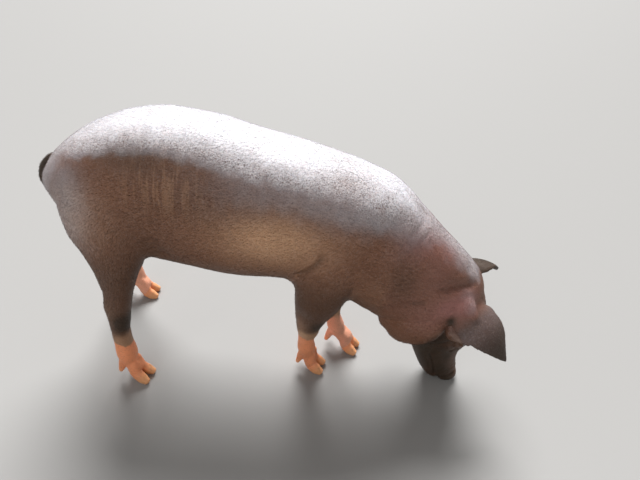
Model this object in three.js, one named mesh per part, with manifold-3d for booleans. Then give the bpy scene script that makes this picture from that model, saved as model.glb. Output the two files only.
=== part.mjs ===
// A domestic pig at life size, standing on four feet with its head lowered so that the snout rests on
// the floor. Millimetres, +X towards the head, +Y to the pig's left, +Z up. Every sub-part is one closed
// solid in its own named mesh. The body is built whole from lofted masses and then parted by thin cuts.
import * as THREE from "three";
import { mergeVertices } from "three/addons/utils/BufferGeometryUtils.js";
import Module from "manifold-3d";

const wasm = await Module();
wasm.setup();

// ---------------------------------------------------------------- driving sizes

const CUT = 0.5; // width of the thin cuts between sub-parts
const SLIVER = 0.5; // facets flatter than this are merged into their neighbours
const RUMP_X = -442; // rearmost point of the rump on the middle plane
const CROUP_Z = 755; // the croup stands higher than the withers
const BELLY_Z = 347;
const BARREL_HALF_WIDTH = 160;

const ORIGIN = { x: 136.8, y: -3.944 }; // middle of the pig's outline, on the floor
const POLL = { x: 605, z: 360 }; // origin of the head's own frame
const EYE = { along: 150, up: 50, out: 58, radius: 12 };
const EAR = { width: 148, thickness: 6 };

const SIDES = [
  { name: "left", sign: 1 },
  { name: "right", sign: -1 },
];

// Where each foot stands on the floor, and the way its toes point (radians from +X, positive towards the
// pig's left). The right pair stands closer together than the left pair.
const FEET = {
  fore_right: { x: 252, y: -47, turn: -0.1 },
  fore_left: { x: 350, y: 46, turn: -0.2 },
  hind_right: { x: -234, y: -166, turn: -0.1 },
  hind_left: { x: -344, y: 156, turn: 0.18 },
};

// ---------------------------------------------------------------- finishes

const finish = (color, roughness) => new THREE.MeshStandardMaterial({ color, roughness, metalness: 0 });
const HIDE = finish(0x7d6761, 0.62);
const DARK_HIDE = finish(0x5d504e, 0.6);
const PINK_HIDE = finish(0xc77f66, 0.6);
const NOSE = finish(0x5a4a48, 0.45);
const HORN = finish(0xb98f62, 0.5);
const EYEBALL = finish(0x1d1410, 0.12);

// ---------------------------------------------------------------- solids

function solidOf(geometry) {
  const bare = geometry.clone();
  for (const name of Object.keys(bare.attributes)) if (name !== "position") bare.deleteAttribute(name);
  const merged = mergeVertices(bare, 1e-3);
  return new wasm.Manifold(
    new wasm.Mesh({
      numProp: 3,
      vertProperties: merged.attributes.position.array,
      triVerts: new Uint32Array(merged.index.array),
    }),
  );
}

function geometryOf(solid) {
  const mesh = solid.getMesh();
  const geometry = new THREE.BufferGeometry();
  geometry.setAttribute("position", new THREE.BufferAttribute(new Float32Array(mesh.vertProperties), 3));
  geometry.setIndex(new THREE.BufferAttribute(new Uint32Array(mesh.triVerts), 1));
  geometry.computeVertexNormals();
  return geometry;
}

// A grid of rows of points, closed round each row, with a pole at each end.
function closedGrid(rows, firstPole, lastPole) {
  const count = rows[0].length;
  const points = [firstPole, ...rows.flat(), lastPole];
  const index = [];
  const at = (row, k) => 1 + row * count + (k % count);
  const last = points.length - 1;
  for (let k = 0; k < count; k++) {
    index.push(0, at(0, k + 1), at(0, k));
    for (let row = 0; row + 1 < rows.length; row++) {
      index.push(at(row, k), at(row, k + 1), at(row + 1, k + 1));
      index.push(at(row, k), at(row + 1, k + 1), at(row + 1, k));
    }
    index.push(at(rows.length - 1, k), at(rows.length - 1, k + 1), last);
  }
  const geometry = new THREE.BufferGeometry().setFromPoints(points);
  geometry.setIndex(index);
  return geometry;
}

// Two layers of rows of points, back to back, joined along all four edges.
function closedSheet(outer, inner, flip) {
  const rows = outer.length;
  const columns = outer[0].length;
  const index = [];
  const at = (layer, i, j) => (layer * rows + i) * columns + j;
  const quad = (a, b, c, d) => index.push(...(flip ? [a, c, b, a, d, c] : [a, b, c, a, c, d]));
  for (let i = 0; i + 1 < rows; i++) {
    for (let j = 0; j + 1 < columns; j++) {
      quad(at(0, i, j), at(0, i, j + 1), at(0, i + 1, j + 1), at(0, i + 1, j));
      quad(at(1, i, j), at(1, i + 1, j), at(1, i + 1, j + 1), at(1, i, j + 1));
    }
    quad(at(0, i, 0), at(0, i + 1, 0), at(1, i + 1, 0), at(1, i, 0));
    quad(at(0, i, columns - 1), at(1, i, columns - 1), at(1, i + 1, columns - 1), at(0, i + 1, columns - 1));
  }
  for (let j = 0; j + 1 < columns; j++) {
    quad(at(0, 0, j), at(1, 0, j), at(1, 0, j + 1), at(0, 0, j + 1));
    quad(at(0, rows - 1, j), at(0, rows - 1, j + 1), at(1, rows - 1, j + 1), at(1, rows - 1, j));
  }
  const geometry = new THREE.BufferGeometry().setFromPoints([...outer.flat(), ...inner.flat()]);
  geometry.setIndex(index);
  return geometry;
}

const power = (value, exponent) => Math.sign(value) * Math.abs(value) ** exponent;

// A body swept through stations. Each station is [x, y, z, rise, drop, half width, squareness]: its section
// is a superellipse across the path that reaches rise above the centre, drop below it and half width to
// each side. "Above" is the path's own upper side: up on the trunk, forward on a leg, the face on the head.
// Each end is rounded off by a cap of the length given. A clearance makes the body that much larger all over.
function loft(stations, { sides = 20, perSpan = 2, caps = [20, 20], clearance = 0, rounds = 2 } = {}) {
  const path = new THREE.CatmullRomCurve3(stations.map((s) => new THREE.Vector3(s[0], s[1], s[2])));
  const sizes = new THREE.CatmullRomCurve3(stations.map((s) => new THREE.Vector3(s[3], s[4], s[5])));
  const spans = stations.length - 1;
  const squareness = (u) => {
    const span = Math.min(Math.floor(u * spans), spans - 1);
    return THREE.MathUtils.lerp(stations[span][6] ?? 2, stations[span + 1][6] ?? 2, u * spans - span);
  };
  const ring = (u, shift, scale) => {
    const tangent = path.getTangent(u);
    const across = new THREE.Vector3(0, 1, 0).addScaledVector(tangent, -tangent.y).normalize();
    const above = new THREE.Vector3().crossVectors(tangent, across);
    const centre = path.getPoint(u).addScaledVector(tangent, shift);
    const size = sizes.getPoint(u).addScalar(clearance).multiplyScalar(scale);
    const exponent = 2 / squareness(u);
    return Array.from({ length: sides }, (_, k) => {
      const angle = (2 * Math.PI * k) / sides;
      const s = Math.sin(angle);
      return centre
        .clone()
        .addScaledVector(across, size.z * power(Math.cos(angle), exponent))
        .addScaledVector(above, (s > 0 ? size.x : size.y) * power(s, exponent));
    });
  };
  const rows = [];
  const [first, final] = caps.map((length) => length + clearance);
  const turns = Array.from({ length: rounds }, (_, k) => ((k + 0.9) / (rounds + 0.6)) * (Math.PI / 2));
  for (const c of [...turns].reverse()) rows.push(ring(0, -first * Math.sin(c), Math.cos(c)));
  for (let k = 0; k <= spans * perSpan; k++) rows.push(ring(k / (spans * perSpan), 0, 1));
  for (const c of turns) rows.push(ring(1, final * Math.sin(c), Math.cos(c)));
  const start = path.getPoint(0).addScaledVector(path.getTangent(0), -first);
  const end = path.getPoint(1).addScaledVector(path.getTangent(1), final);
  return closedGrid(rows, start, end);
}

// ---------------------------------------------------------------- trunk and neck

// One sweep from the rump to the poll: level along the back, then bending down through the neck.
function trunkAndNeck(clearance) {
  return loft(
    [
      [RUMP_X + 30, 0, 552, 52, 74, 78, 2],
      [-378, 0, 562, 80, 110, 116, 2.1],
      [-320, 0, 573, 114, 134, 146, 2.3],
      [-250, 0, 578, 148, 184, 161, 2.3],
      [-160, 0, 574, CROUP_Z - 574, 204, 164, 2.3],
      [-60, 0, 556, 193, 200, 162, 2.25],
      [50, 0, 540, 188, 540 - BELLY_Z, BARREL_HALF_WIDTH, 2.25],
      [150, 0, 530, 176, 167, 155, 2.5],
      [240, 0, 510, 176, 152, 150, 2.5],
      [315, 0, 476, 192, 162, 142, 2.25],
      [380, 0, 432, 182, 138, 132, 2.2],
      [445, 0, 384, 172, 122, 125, 2.2],
      [510, 0, 336, 164, 118, 119, 2.2],
      [562, 0, 294, 155, 110, 110, 2.15],
      [600, 0, 256, 122, 96, 94, 2.1],
    ],
    { sides: 20, perSpan: 2, caps: [30, 50], clearance },
  );
}

// Two rows of small teats along the belly, each found by looking up at the belly from the floor.
const TEATS = { pairs: 6, first: -190, last: 225, apart: 46, proud: 7, radius: 5 };
function teats() {
  const belly = new THREE.Mesh(trunkAndNeck(0), new THREE.MeshBasicMaterial({ side: THREE.DoubleSide }));
  const up = new THREE.Vector3(0, 0, 1);
  return Array.from({ length: TEATS.pairs * 2 }, (_, k) => {
    const x = THREE.MathUtils.lerp(TEATS.first, TEATS.last, Math.floor(k / 2) / (TEATS.pairs - 1));
    const y = (k % 2 ? 1 : -1) * TEATS.apart;
    const [hit] = new THREE.Raycaster(new THREE.Vector3(x, y, 0), up).intersectObject(belly);
    const teat = new THREE.CylinderGeometry(TEATS.radius, TEATS.radius * 0.6, 20, 4).rotateX(Math.PI / 2);
    return teat.translate(x, y, hit.point.z + 10 - TEATS.proud);
  });
}

// The cheek and fat jowl of one side, which runs from the ear's root down behind the jaw.
function jowl(sign, clearance) {
  return loft(
    [
      [452, sign * 48, 292, 64, 60, 58, 2],
      [500, sign * 54, 284, 90, 88, 72, 2],
      [548, sign * 56, 294, 84, 76, 66, 2],
      [590, sign * 56, 322, 58, 60, 52, 2],
    ],
    { sides: 11, perSpan: 1, caps: [36, 26], rounds: 1, clearance },
  );
}

// ---------------------------------------------------------------- head, in its own frame

// The head's frame has +X down the face towards the snout, +Z out of the forehead and +Y left. Its origin
// is inside the poll, and the whole head hangs straight down.
const headFrame = new THREE.Matrix4()
  .makeRotationY(Math.PI / 2)
  .setPosition(POLL.x, 0, POLL.z);
const inHead = (geometry) => geometry.applyMatrix4(headFrame);

function skull(clearance) {
  return loft(
    [
      [4, 0, 20, 62, 50, 68, 2.2],
      [40, 0, 18, 76, 74, 78, 2.3],
      [90, 0, 12, 88, 88, 80, 2.3],
      [135, 0, 10, 86, 92, 73, 2.3],
      [178, 0, 5, 79, 88, 64, 2.3],
      [218, 0, 3, 72, 78, 53, 2.3],
      [258, 0, 10, 61, 66, 47, 2.3],
      [300, 0, 24, 52, 58, 41, 2.3],
      [331, 0, 39, 46, 50, 38, 2.3],
    ],
    { sides: 16, perSpan: 1, caps: [26, 8], rounds: 1, clearance },
  );
}

// The flat nose disc at the end of the muzzle, leaning forward, with its rim proud all round.
const DISC = { along: 348, up: 58, half: 36, rise: 32, lean: 0.32, depth: 15 };
const discFrame = new THREE.Matrix4().makeRotationY(-DISC.lean).setPosition(DISC.along, 0, DISC.up);
function noseDisc() {
  const disc = loft(
    [
      [-DISC.depth, 0, 0, DISC.rise - 4, DISC.rise - 2, DISC.half - 2, 2.2],
      [-4, 0, 0, DISC.rise, DISC.rise, DISC.half, 2.3],
      [4, 0, 0, DISC.rise, DISC.rise - 1, DISC.half, 2.3],
    ],
    { sides: 16, perSpan: 1, caps: [4, 4], rounds: 1 },
  );
  return disc.applyMatrix4(discFrame);
}

function nostril(sign) {
  const hole = loft(
    [
      [-8, sign * 12.5, 2, 7.5, 7.5, 5.2, 2],
      [14, sign * 12.5, 2, 8.5, 8.5, 6, 2],
    ],
    { sides: 6, perSpan: 1, caps: [3, 3], rounds: 1 },
  );
  return hole.applyMatrix4(discFrame);
}

function eyeball(sign, clearance = 0) {
  const ball = new THREE.SphereGeometry(EYE.radius + clearance, 12, 7);
  ball.translate(EYE.along, sign * EYE.out, EYE.up);
  return ball;
}

// Each ear's spine, root to knee to tip, the way its hollow faces, and its share of the width. The right ear
// hangs down beside the face; the left one is held out forward.
const EARS = {
  left: {
    root: [-12, 60, 12],
    knee: [-40, 109, 75],
    tip: [40, 138, 147],
    hollow: [0.88, -0.45, 0.1],
    share: 0.88,
  },
  right: {
    root: [-4, -62, 10],
    knee: [4, -124, 78],
    tip: [116, -134, 146],
    hollow: [0.62, 0.62, -0.48],
    share: 1.05,
  },
};

// A place on one ear. Its sections are arcs, nearly closed to a funnel at the root and opening to a broad
// flap. s runs from root to tip, t from one edge (-1) to the other (+1), and side tells the two faces apart.
function earPoint({ root, knee, tip, hollow, share }, sign, s, t, side) {
  const spine = new THREE.QuadraticBezierCurve3(...[root, knee, tip].map((p) => new THREE.Vector3(...p)));
  const leaf = EAR.width * share * (0.6 + 1.7 * s * (1 - s) ** 1.4) * (1 - s ** 3) ** 0.7;
  const half = Math.max(leaf, 14) / 2;
  const spread = THREE.MathUtils.lerp(1.5, 0.42, Math.min(1, s * 1.7));
  const facing = new THREE.Vector3(...hollow).normalize();
  const tangent = spine.getTangent(s);
  const inward = facing.clone().addScaledVector(tangent, -facing.dot(tangent)).normalize();
  const across = new THREE.Vector3().crossVectors(tangent, inward).multiplyScalar(sign);
  const thin = Math.min(1, (1 - Math.abs(t)) * 3 + 0.25);
  const radius = half / spread;
  const r = radius + side * (EAR.thickness / 2) * thin;
  return spine
    .getPoint(s)
    .addScaledVector(across, r * Math.sin(t * spread))
    .addScaledVector(inward, radius - r * Math.cos(t * spread));
}

function ear(shape, sign) {
  const ROWS = 8;
  const COLUMNS = 6;
  const row = (s, side) =>
    Array.from({ length: COLUMNS + 1 }, (_, j) => earPoint(shape, sign, s, (2 * j) / COLUMNS - 1, side));
  const layer = (side) => Array.from({ length: ROWS + 1 }, (_, i) => row(i / ROWS, side));
  return inHead(closedSheet(layer(1), layer(-1), sign > 0));
}

// The thick rolled margin at the root of an ear's rear edge: how far along the edge, the share of its push
// away from the edge, and its radius.
const ROLL = [
  [0.017, 0, 4],
  [0.085, 0.3, 6],
  [0.169, 0.8, 8.5],
  [0.271, 1, 9.5],
  [0.373, 0.7, 6.5],
  [0.508, 0.2, 3.5],
];
function earRoll(shape, sign) {
  const stations = ROLL.map(([s, share, r]) => {
    const edge = earPoint(shape, sign, s, 1, 0).applyMatrix4(headFrame);
    return [edge.x - 10 * share, edge.y + 5 * sign * share, edge.z - 5 * share, r, r, r, 2];
  });
  return loft(stations, { sides: 5, perSpan: 1, caps: [6, 5], rounds: 1 });
}

// The swelling from which an ear grows.
function earRoot(sign, clearance) {
  return loft(
    [
      [600, sign * 40, 376, 36, 34, 34, 2],
      [616, sign * 68, 370, 30, 30, 30, 2],
      [634, sign * 84, 353, 24, 24, 26, 2],
      [656, sign * 97, 335, 17, 17, 20, 2],
      [684, sign * 110, 318, 9, 9, 11, 2],
    ],
    { sides: 8, perSpan: 1, caps: [10, 14], rounds: 1, clearance },
  );
}

// ---------------------------------------------------------------- legs

const limb = (stations) => loft(stations, { sides: 10, perSpan: 1, caps: [24, 6], rounds: 1 });

// Down each limb to the fetlock and the top of the cleft between its toes.
const LIMBS = {
  fore_right: [
    [292, -88, 520, 84, 84, 58, 2.1],
    [272, -104, 430, 80, 80, 54, 2.1],
    [258, -104, 345, 62, 62, 47, 2.1],
    [246, -92, 280, 45, 48, 37, 2.1],
    [238, -78, 218, 33, 36, 31, 2.2],
    [234, -68, 172, 26, 27, 25, 2.1],
    [232, -59, 135, 23, 25, 23, 2.1],
    [234, -53, 98, 25, 28, 27, 2.2],
    [241, -49, 66, 20, 20, 23, 2.2],
  ],
  fore_left: [
    [296, 88, 520, 84, 84, 58, 2.1],
    [284, 102, 430, 80, 80, 54, 2.1],
    [282, 98, 345, 62, 62, 46, 2.1],
    [286, 84, 275, 43, 46, 36, 2.1],
    [292, 70, 212, 33, 35, 31, 2.2],
    [295, 60, 168, 25, 26, 25, 2.1],
    [300, 54, 132, 22, 24, 23, 2.1],
    [310, 50, 98, 25, 28, 27, 2.2],
    [324, 48, 66, 20, 20, 23, 2.2],
  ],
  hind_right: [
    [-256, -84, 604, 80, 74, 52, 2.1],
    [-260, -98, 545, 108, 108, 67, 2.2],
    [-252, -108, 485, 108, 106, 66, 2.2],
    [-246, -122, 428, 80, 82, 57, 2.1],
    [-243, -138, 372, 50, 56, 44, 2.1],
    [-243, -150, 318, 33, 44, 34, 2.1],
    [-250, -158, 258, 27, 37, 29, 2.2],
    [-257, -162, 205, 25, 26, 26, 2.1],
    [-258, -164, 155, 25, 25, 25, 2.1],
    [-254, -166, 104, 28, 29, 29, 2.2],
    [-250, -166, 68, 20, 21, 23, 2.2],
  ],
  hind_left: [
    [-258, 84, 604, 80, 74, 52, 2.1],
    [-266, 98, 545, 108, 108, 67, 2.2],
    [-266, 108, 485, 108, 104, 66, 2.2],
    [-272, 120, 428, 80, 80, 56, 2.1],
    [-290, 134, 372, 50, 54, 44, 2.1],
    [-311, 144, 318, 33, 40, 34, 2.1],
    [-338, 150, 258, 26, 33, 29, 2.2],
    [-362, 154, 205, 22, 26, 25, 2.1],
    [-374, 156, 155, 21, 24, 22, 2.1],
    [-373, 158, 104, 25, 28, 26, 2.2],
    [-360, 158, 68, 20, 21, 23, 2.2],
  ],
};

// Toes and dewclaws are laid out in the foot's own frame: +X the way the foot points, the floor at Z 0.
const TROTTER_TOP = { fore_right: 148, fore_left: 118, hind_right: 142, hind_left: 146 };
const TOE = { apart: 14, splay: 0.13, width: 13.5 };
const DEWCLAW = { apart: 16, back: 21, width: 9.5, low: 36 };

function toe(fetlock, sign) {
  const out = (x) => sign * (TOE.apart + Math.tan(TOE.splay) * Math.max(0, x));
  return loft(
    [
      [fetlock.x + 10, sign * 10, 72, 20, 20, 13, 2.1],
      [-5, out(0) - sign * 2, 46, 20, 19, TOE.width + 1, 2.2],
      [3, out(0), 26, 20, 19, TOE.width, 2.3],
      [20, out(20), 15, 16, 20, TOE.width - 0.5, 2.4],
      [34, out(34), 8, 10, 15, TOE.width - 4, 2.3],
    ],
    { sides: 8, perSpan: 1, caps: [6, 7], rounds: 1 },
  );
}

// The foot between fetlock and toes, which keeps them together down to where they part.
function pastern(fetlock) {
  return loft(
    [
      [fetlock.x + 2, 0, 70, 21, 21, 23, 2.2],
      [-3, 0, 51, 20, 18, 24, 2.3],
      [4, 0, 35, 16, 15, 19, 2.3],
    ],
    { sides: 6, perSpan: 1, caps: [6, 6], rounds: 1 },
  );
}

function dewclaw(fetlock, sign) {
  const tip = fetlock.x - DEWCLAW.back;
  return loft(
    [
      [fetlock.x - 6, sign * 11, fetlock.z - 8, 15, 14, 14, 2],
      [tip + 6, sign * (DEWCLAW.apart + 1), DEWCLAW.low + 22, 13, 12, DEWCLAW.width + 1, 2.1],
      [tip, sign * (DEWCLAW.apart + 4), DEWCLAW.low, 7, 7, DEWCLAW.width - 3, 2.1],
    ],
    { sides: 6, perSpan: 1, caps: [6, 6], rounds: 1 },
  );
}

function inFoot(foot, geometry) {
  return geometry.applyMatrix4(new THREE.Matrix4().makeRotationZ(foot.turn).setPosition(foot.x, foot.y, 0));
}

// The fetlock of a limb, seen from its foot's own frame.
function fetlockOf(name) {
  const foot = FEET[name];
  const [x, y, z] = LIMBS[name].at(-2);
  return new THREE.Vector3(x - foot.x, y - foot.y, z).applyAxisAngle(new THREE.Vector3(0, 0, 1), -foot.turn);
}

// ---------------------------------------------------------------- tail

function tail() {
  return loft(
    [
      [-396, 0, 598, 17, 19, 17, 2],
      [-430, 0, 590, 15, 17, 16, 2],
      [-460, 0, 564, 14, 14, 15, 2],
      [-470, 2, 530, 13, 13, 13, 2],
      [-460, 6, 498, 10, 11, 11, 2],
      [-446, 10, 470, 8, 9, 9, 2],
      [-430, 14, 446, 5, 6, 6, 2],
    ],
    { sides: 8, perSpan: 1, caps: [6, 14], rounds: 1 },
  );
}

// ---------------------------------------------------------------- parting the body

const pig = new THREE.Group();
pig.name = "pig";

function add(name, solid, material) {
  const placed = solid.translate(-ORIGIN.x, -ORIGIN.y, 0).simplify(SLIVER);
  const mesh = new THREE.Mesh(geometryOf(placed), material);
  mesh.name = name;
  pig.add(mesh);
}

const join = (geometries) => geometries.map(solidOf).reduce((whole, piece) => whole.add(piece));

// The space on the near side of every plane given, pushed out by a margin. Each plane is a point on it and
// its outward normal, in the frame of a matrix.
const plane = (at, normal) => ({ at, normal });
function regionOf(planes, margin, frame = new THREE.Matrix4()) {
  const REACH = 3000;
  return planes
    .map(({ at, normal }) => {
      const block = new THREE.BoxGeometry(REACH, REACH, REACH).translate(0, 0, margin - REACH / 2);
      const away = new THREE.Vector3(...normal).normalize();
      block.applyQuaternion(new THREE.Quaternion().setFromUnitVectors(new THREE.Vector3(0, 0, 1), away));
      return solidOf(block.translate(...at).applyMatrix4(frame));
    })
    .reduce((whole, piece) => whole.intersect(piece));
}

// The largest separate body of a solid.
const largest = (solid) => solid.decompose().reduce((a, b) => (a.volume() > b.volume() ? a : b));

// Takes what lies in the regions given off a body, leaving a thin cut where they met.
function take(body, regions, frame) {
  const space = (margin) =>
    regions.map((planes) => regionOf(planes, margin, frame)).reduce((whole, region) => whole.add(region));
  return {
    piece: largest(body.intersect(space(-CUT / 2))),
    rest: largest(body.subtract(space(CUT / 2))),
  };
}

// The whole flesh of the animal, standing on the floor.
const core = (clearance) => [
  trunkAndNeck(clearance),
  jowl(1, clearance),
  jowl(-1, clearance),
  inHead(skull(clearance)),
  earRoot(1, clearance),
  earRoot(-1, clearance),
];
const masses = [...core(0), inHead(noseDisc()), ...teats()];
for (const [name, stations] of Object.entries(LIMBS)) {
  masses.push(limb(stations), inFoot(FEET[name], pastern(fetlockOf(name))));
  for (const { sign } of SIDES) {
    masses.push(inFoot(FEET[name], toe(fetlockOf(name), sign)));
    masses.push(inFoot(FEET[name], dewclaw(fetlockOf(name), sign)));
  }
}
const underfoot = regionOf([plane([0, 0, 0], [0, 0, 1])], 0);
let body = join(masses).subtract(underfoot);

// The tail and the ears stand on its surface, and the eyeballs sit in their sockets.
const covered = join(core(CUT));
add("tail", largest(solidOf(tail()).subtract(covered)), HIDE);
for (const { name, sign } of SIDES) {
  const flap = join([ear(EARS[name], sign), earRoll(EARS[name], sign)]);
  add(`ear_${name}`, largest(flap.subtract(covered)), DARK_HIDE);
  add(`eye_${name}`, solidOf(inHead(eyeball(sign))), EYEBALL);
  body = body.subtract(solidOf(inHead(eyeball(sign, CUT))));
}

// Each leg comes off below a sloping cut, then its trotter, and from that the horn of its toes.
for (const end of ["fore", "hind"]) {
  for (const { name: side, sign } of SIDES) {
    const limbName = `${end}_${side}`;
    const midline = plane([0, sign * 4, 0], [0, -sign, 0]);
    const behind = (x) => plane([x, 0, 0], [1, 0, 0]);
    const before = (x) => plane([x, 0, 0], [-1, 0, 0]);
    const regions =
      end === "fore"
        ? [
            [plane([0, sign * 20, 362], [0, -sign * 0.8, 1]), midline, before(186), behind(346)],
            [plane([0, 0, 160], [0, 0, 1]), midline, before(100), behind(396)],
          ]
        : [[plane([0, sign * 30, 400], [0, -sign * 0.9, 1]), midline, behind(-150)]];
    const whole = take(body, regions);
    body = whole.rest;
    const upper = take(whole.piece, [[plane([0, 0, TROTTER_TOP[limbName]], [0, 0, 1])]]);
    add(`${end}leg_${side}`, upper.rest, HIDE);
    let trotter = upper.piece;
    const foot = FEET[limbName];
    const frame = new THREE.Matrix4().makeRotationZ(foot.turn).setPosition(foot.x, foot.y, 0);
    const fetlock = fetlockOf(limbName);
    for (const { name: toeSide, sign: toeSign } of SIDES) {
      const place = toeSign === sign ? "outer" : "inner";
      const middle = plane([0, 0, 0], [0, -toeSign, 0]);
      const horn = [plane([12, 0, 38], [-0.756, 0, 0.655]), middle];
      const spur = [plane([0, 0, 50], [0, 0, 1]), plane([fetlock.x - 14, 0, 0], [1, 0, 0]), middle];
      for (const [part, planes] of [["hoof", horn], ["dewclaw", spur]]) {
        const cut = take(trotter, [planes], frame);
        add(`${part}_${limbName}_${place}`, cut.piece, HORN);
        trotter = cut.rest;
      }
    }
    add(`trotter_${limbName}`, trotter, PINK_HIDE);
  }
}

// The head hangs from the neck at the poll and the throat. The nose and the lower jaw come off the head.
const head = take(body, [[plane([660, 0, 440], [-0.39, 0, 0.922]), plane([398, 0, 0], [-1, 0, 0])]]);
const neck = take(head.rest, [[plane([350, 0, 490], [-0.958, 0, 0.284])]]);
const nose = take(head.piece, [[plane([-10, 0, 0], [-1, 0, 0])]], headFrame.clone().multiply(discFrame));
const jaw = take(
  nose.rest,
  [[plane([325, 0, 12], [-0.24, 0, 0.97]), plane([222, 0, 0], [-1, 0, 0])]],
  headFrame,
);
let disc = nose.piece;
for (const { sign } of SIDES) disc = disc.subtract(solidOf(inHead(nostril(sign))));
add("nose_disc", disc, NOSE);
add("jaw", jaw.piece, HIDE);
add("head", jaw.rest, HIDE);
add("neck", neck.piece, HIDE);
add("trunk", neck.rest, HIDE);

export default pig;
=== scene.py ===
"""A domestic pig at life size: skin, coat, eyes and horn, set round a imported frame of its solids.

Shapes are numpy surfaces in metres. They are worked out in the body's own frame, whose +X runs towards the
head, +Y to the pig's left and +Z up from the floor, and are moved by ORIGIN into the frame's at the end.
"""

import bpy
import numpy as np
from mathutils import Matrix, Vector


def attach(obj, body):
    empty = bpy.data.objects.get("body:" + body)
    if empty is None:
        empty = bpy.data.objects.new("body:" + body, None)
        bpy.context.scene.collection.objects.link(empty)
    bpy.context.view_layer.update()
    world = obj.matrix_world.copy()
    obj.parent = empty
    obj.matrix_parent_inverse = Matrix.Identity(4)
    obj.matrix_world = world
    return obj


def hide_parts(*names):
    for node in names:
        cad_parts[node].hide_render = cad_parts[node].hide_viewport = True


bl_info = {
    "name": "Domestic Pig",
    "version": (1, 0, 0),
    "blender": (4, 5, 0),
    "location": "3D View > Sidebar > Pig",
    "description": "Builds the skin, coat, eyes and horn of a life-size pig and the stage it stands on",
    "category": "Object",
}

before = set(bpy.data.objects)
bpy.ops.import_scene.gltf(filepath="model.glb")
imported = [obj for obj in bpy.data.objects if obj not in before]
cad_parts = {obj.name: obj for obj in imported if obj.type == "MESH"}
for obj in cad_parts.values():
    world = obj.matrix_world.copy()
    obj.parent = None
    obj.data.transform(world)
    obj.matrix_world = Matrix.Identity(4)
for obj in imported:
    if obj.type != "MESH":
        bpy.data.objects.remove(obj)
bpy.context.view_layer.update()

# ------------------------------------------------------------------ places on the body

ORIGIN = np.array([0.13680, -0.003944, 0.0])  # middle of the outline, in the body's frame
POLL = np.array([0.605, 0.0, 0.360])  # origin of the head's frame
SIDES = {"left": 1.0, "right": -1.0}

# Stations of the body's tubes: centre x, y, z, rise above it, drop below it, half width, squareness.
TRUNK = [
    (-0.412, 0, 0.552, 0.052, 0.074, 0.078, 2.0),
    (-0.378, 0, 0.562, 0.080, 0.110, 0.116, 2.1),
    (-0.320, 0, 0.573, 0.114, 0.134, 0.146, 2.3),
    (-0.250, 0, 0.578, 0.148, 0.184, 0.161, 2.3),
    (-0.160, 0, 0.574, 0.178, 0.204, 0.164, 2.3),
    (-0.060, 0, 0.556, 0.193, 0.200, 0.162, 2.25),
    (0.050, 0, 0.540, 0.188, 0.193, 0.160, 2.25),
    (0.150, 0, 0.530, 0.176, 0.167, 0.155, 2.5),
    (0.240, 0, 0.510, 0.176, 0.152, 0.150, 2.5),
    (0.315, 0, 0.476, 0.192, 0.162, 0.142, 2.25),
    (0.380, 0, 0.432, 0.182, 0.138, 0.132, 2.2),
    (0.445, 0, 0.384, 0.172, 0.122, 0.125, 2.2),
    (0.510, 0, 0.336, 0.164, 0.118, 0.119, 2.2),
    (0.562, 0, 0.294, 0.155, 0.110, 0.110, 2.15),
    (0.600, 0, 0.256, 0.122, 0.096, 0.094, 2.1),
]
JOWL = [  # the left one, which is mirrored on the right
    (0.452, 0.048, 0.292, 0.064, 0.060, 0.058, 2),
    (0.500, 0.054, 0.284, 0.090, 0.088, 0.072, 2),
    (0.548, 0.056, 0.294, 0.084, 0.076, 0.066, 2),
    (0.590, 0.056, 0.322, 0.058, 0.060, 0.052, 2),
]
TAIL = [
    (-0.396, 0, 0.598, 0.017, 0.019, 0.017, 2),
    (-0.430, 0, 0.590, 0.015, 0.017, 0.016, 2),
    (-0.460, 0, 0.564, 0.014, 0.014, 0.015, 2),
    (-0.470, 0.002, 0.530, 0.013, 0.013, 0.013, 2),
    (-0.460, 0.006, 0.498, 0.010, 0.011, 0.011, 2),
    (-0.446, 0.010, 0.470, 0.008, 0.009, 0.009, 2),
    (-0.430, 0.014, 0.446, 0.005, 0.006, 0.006, 2),
]
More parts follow.
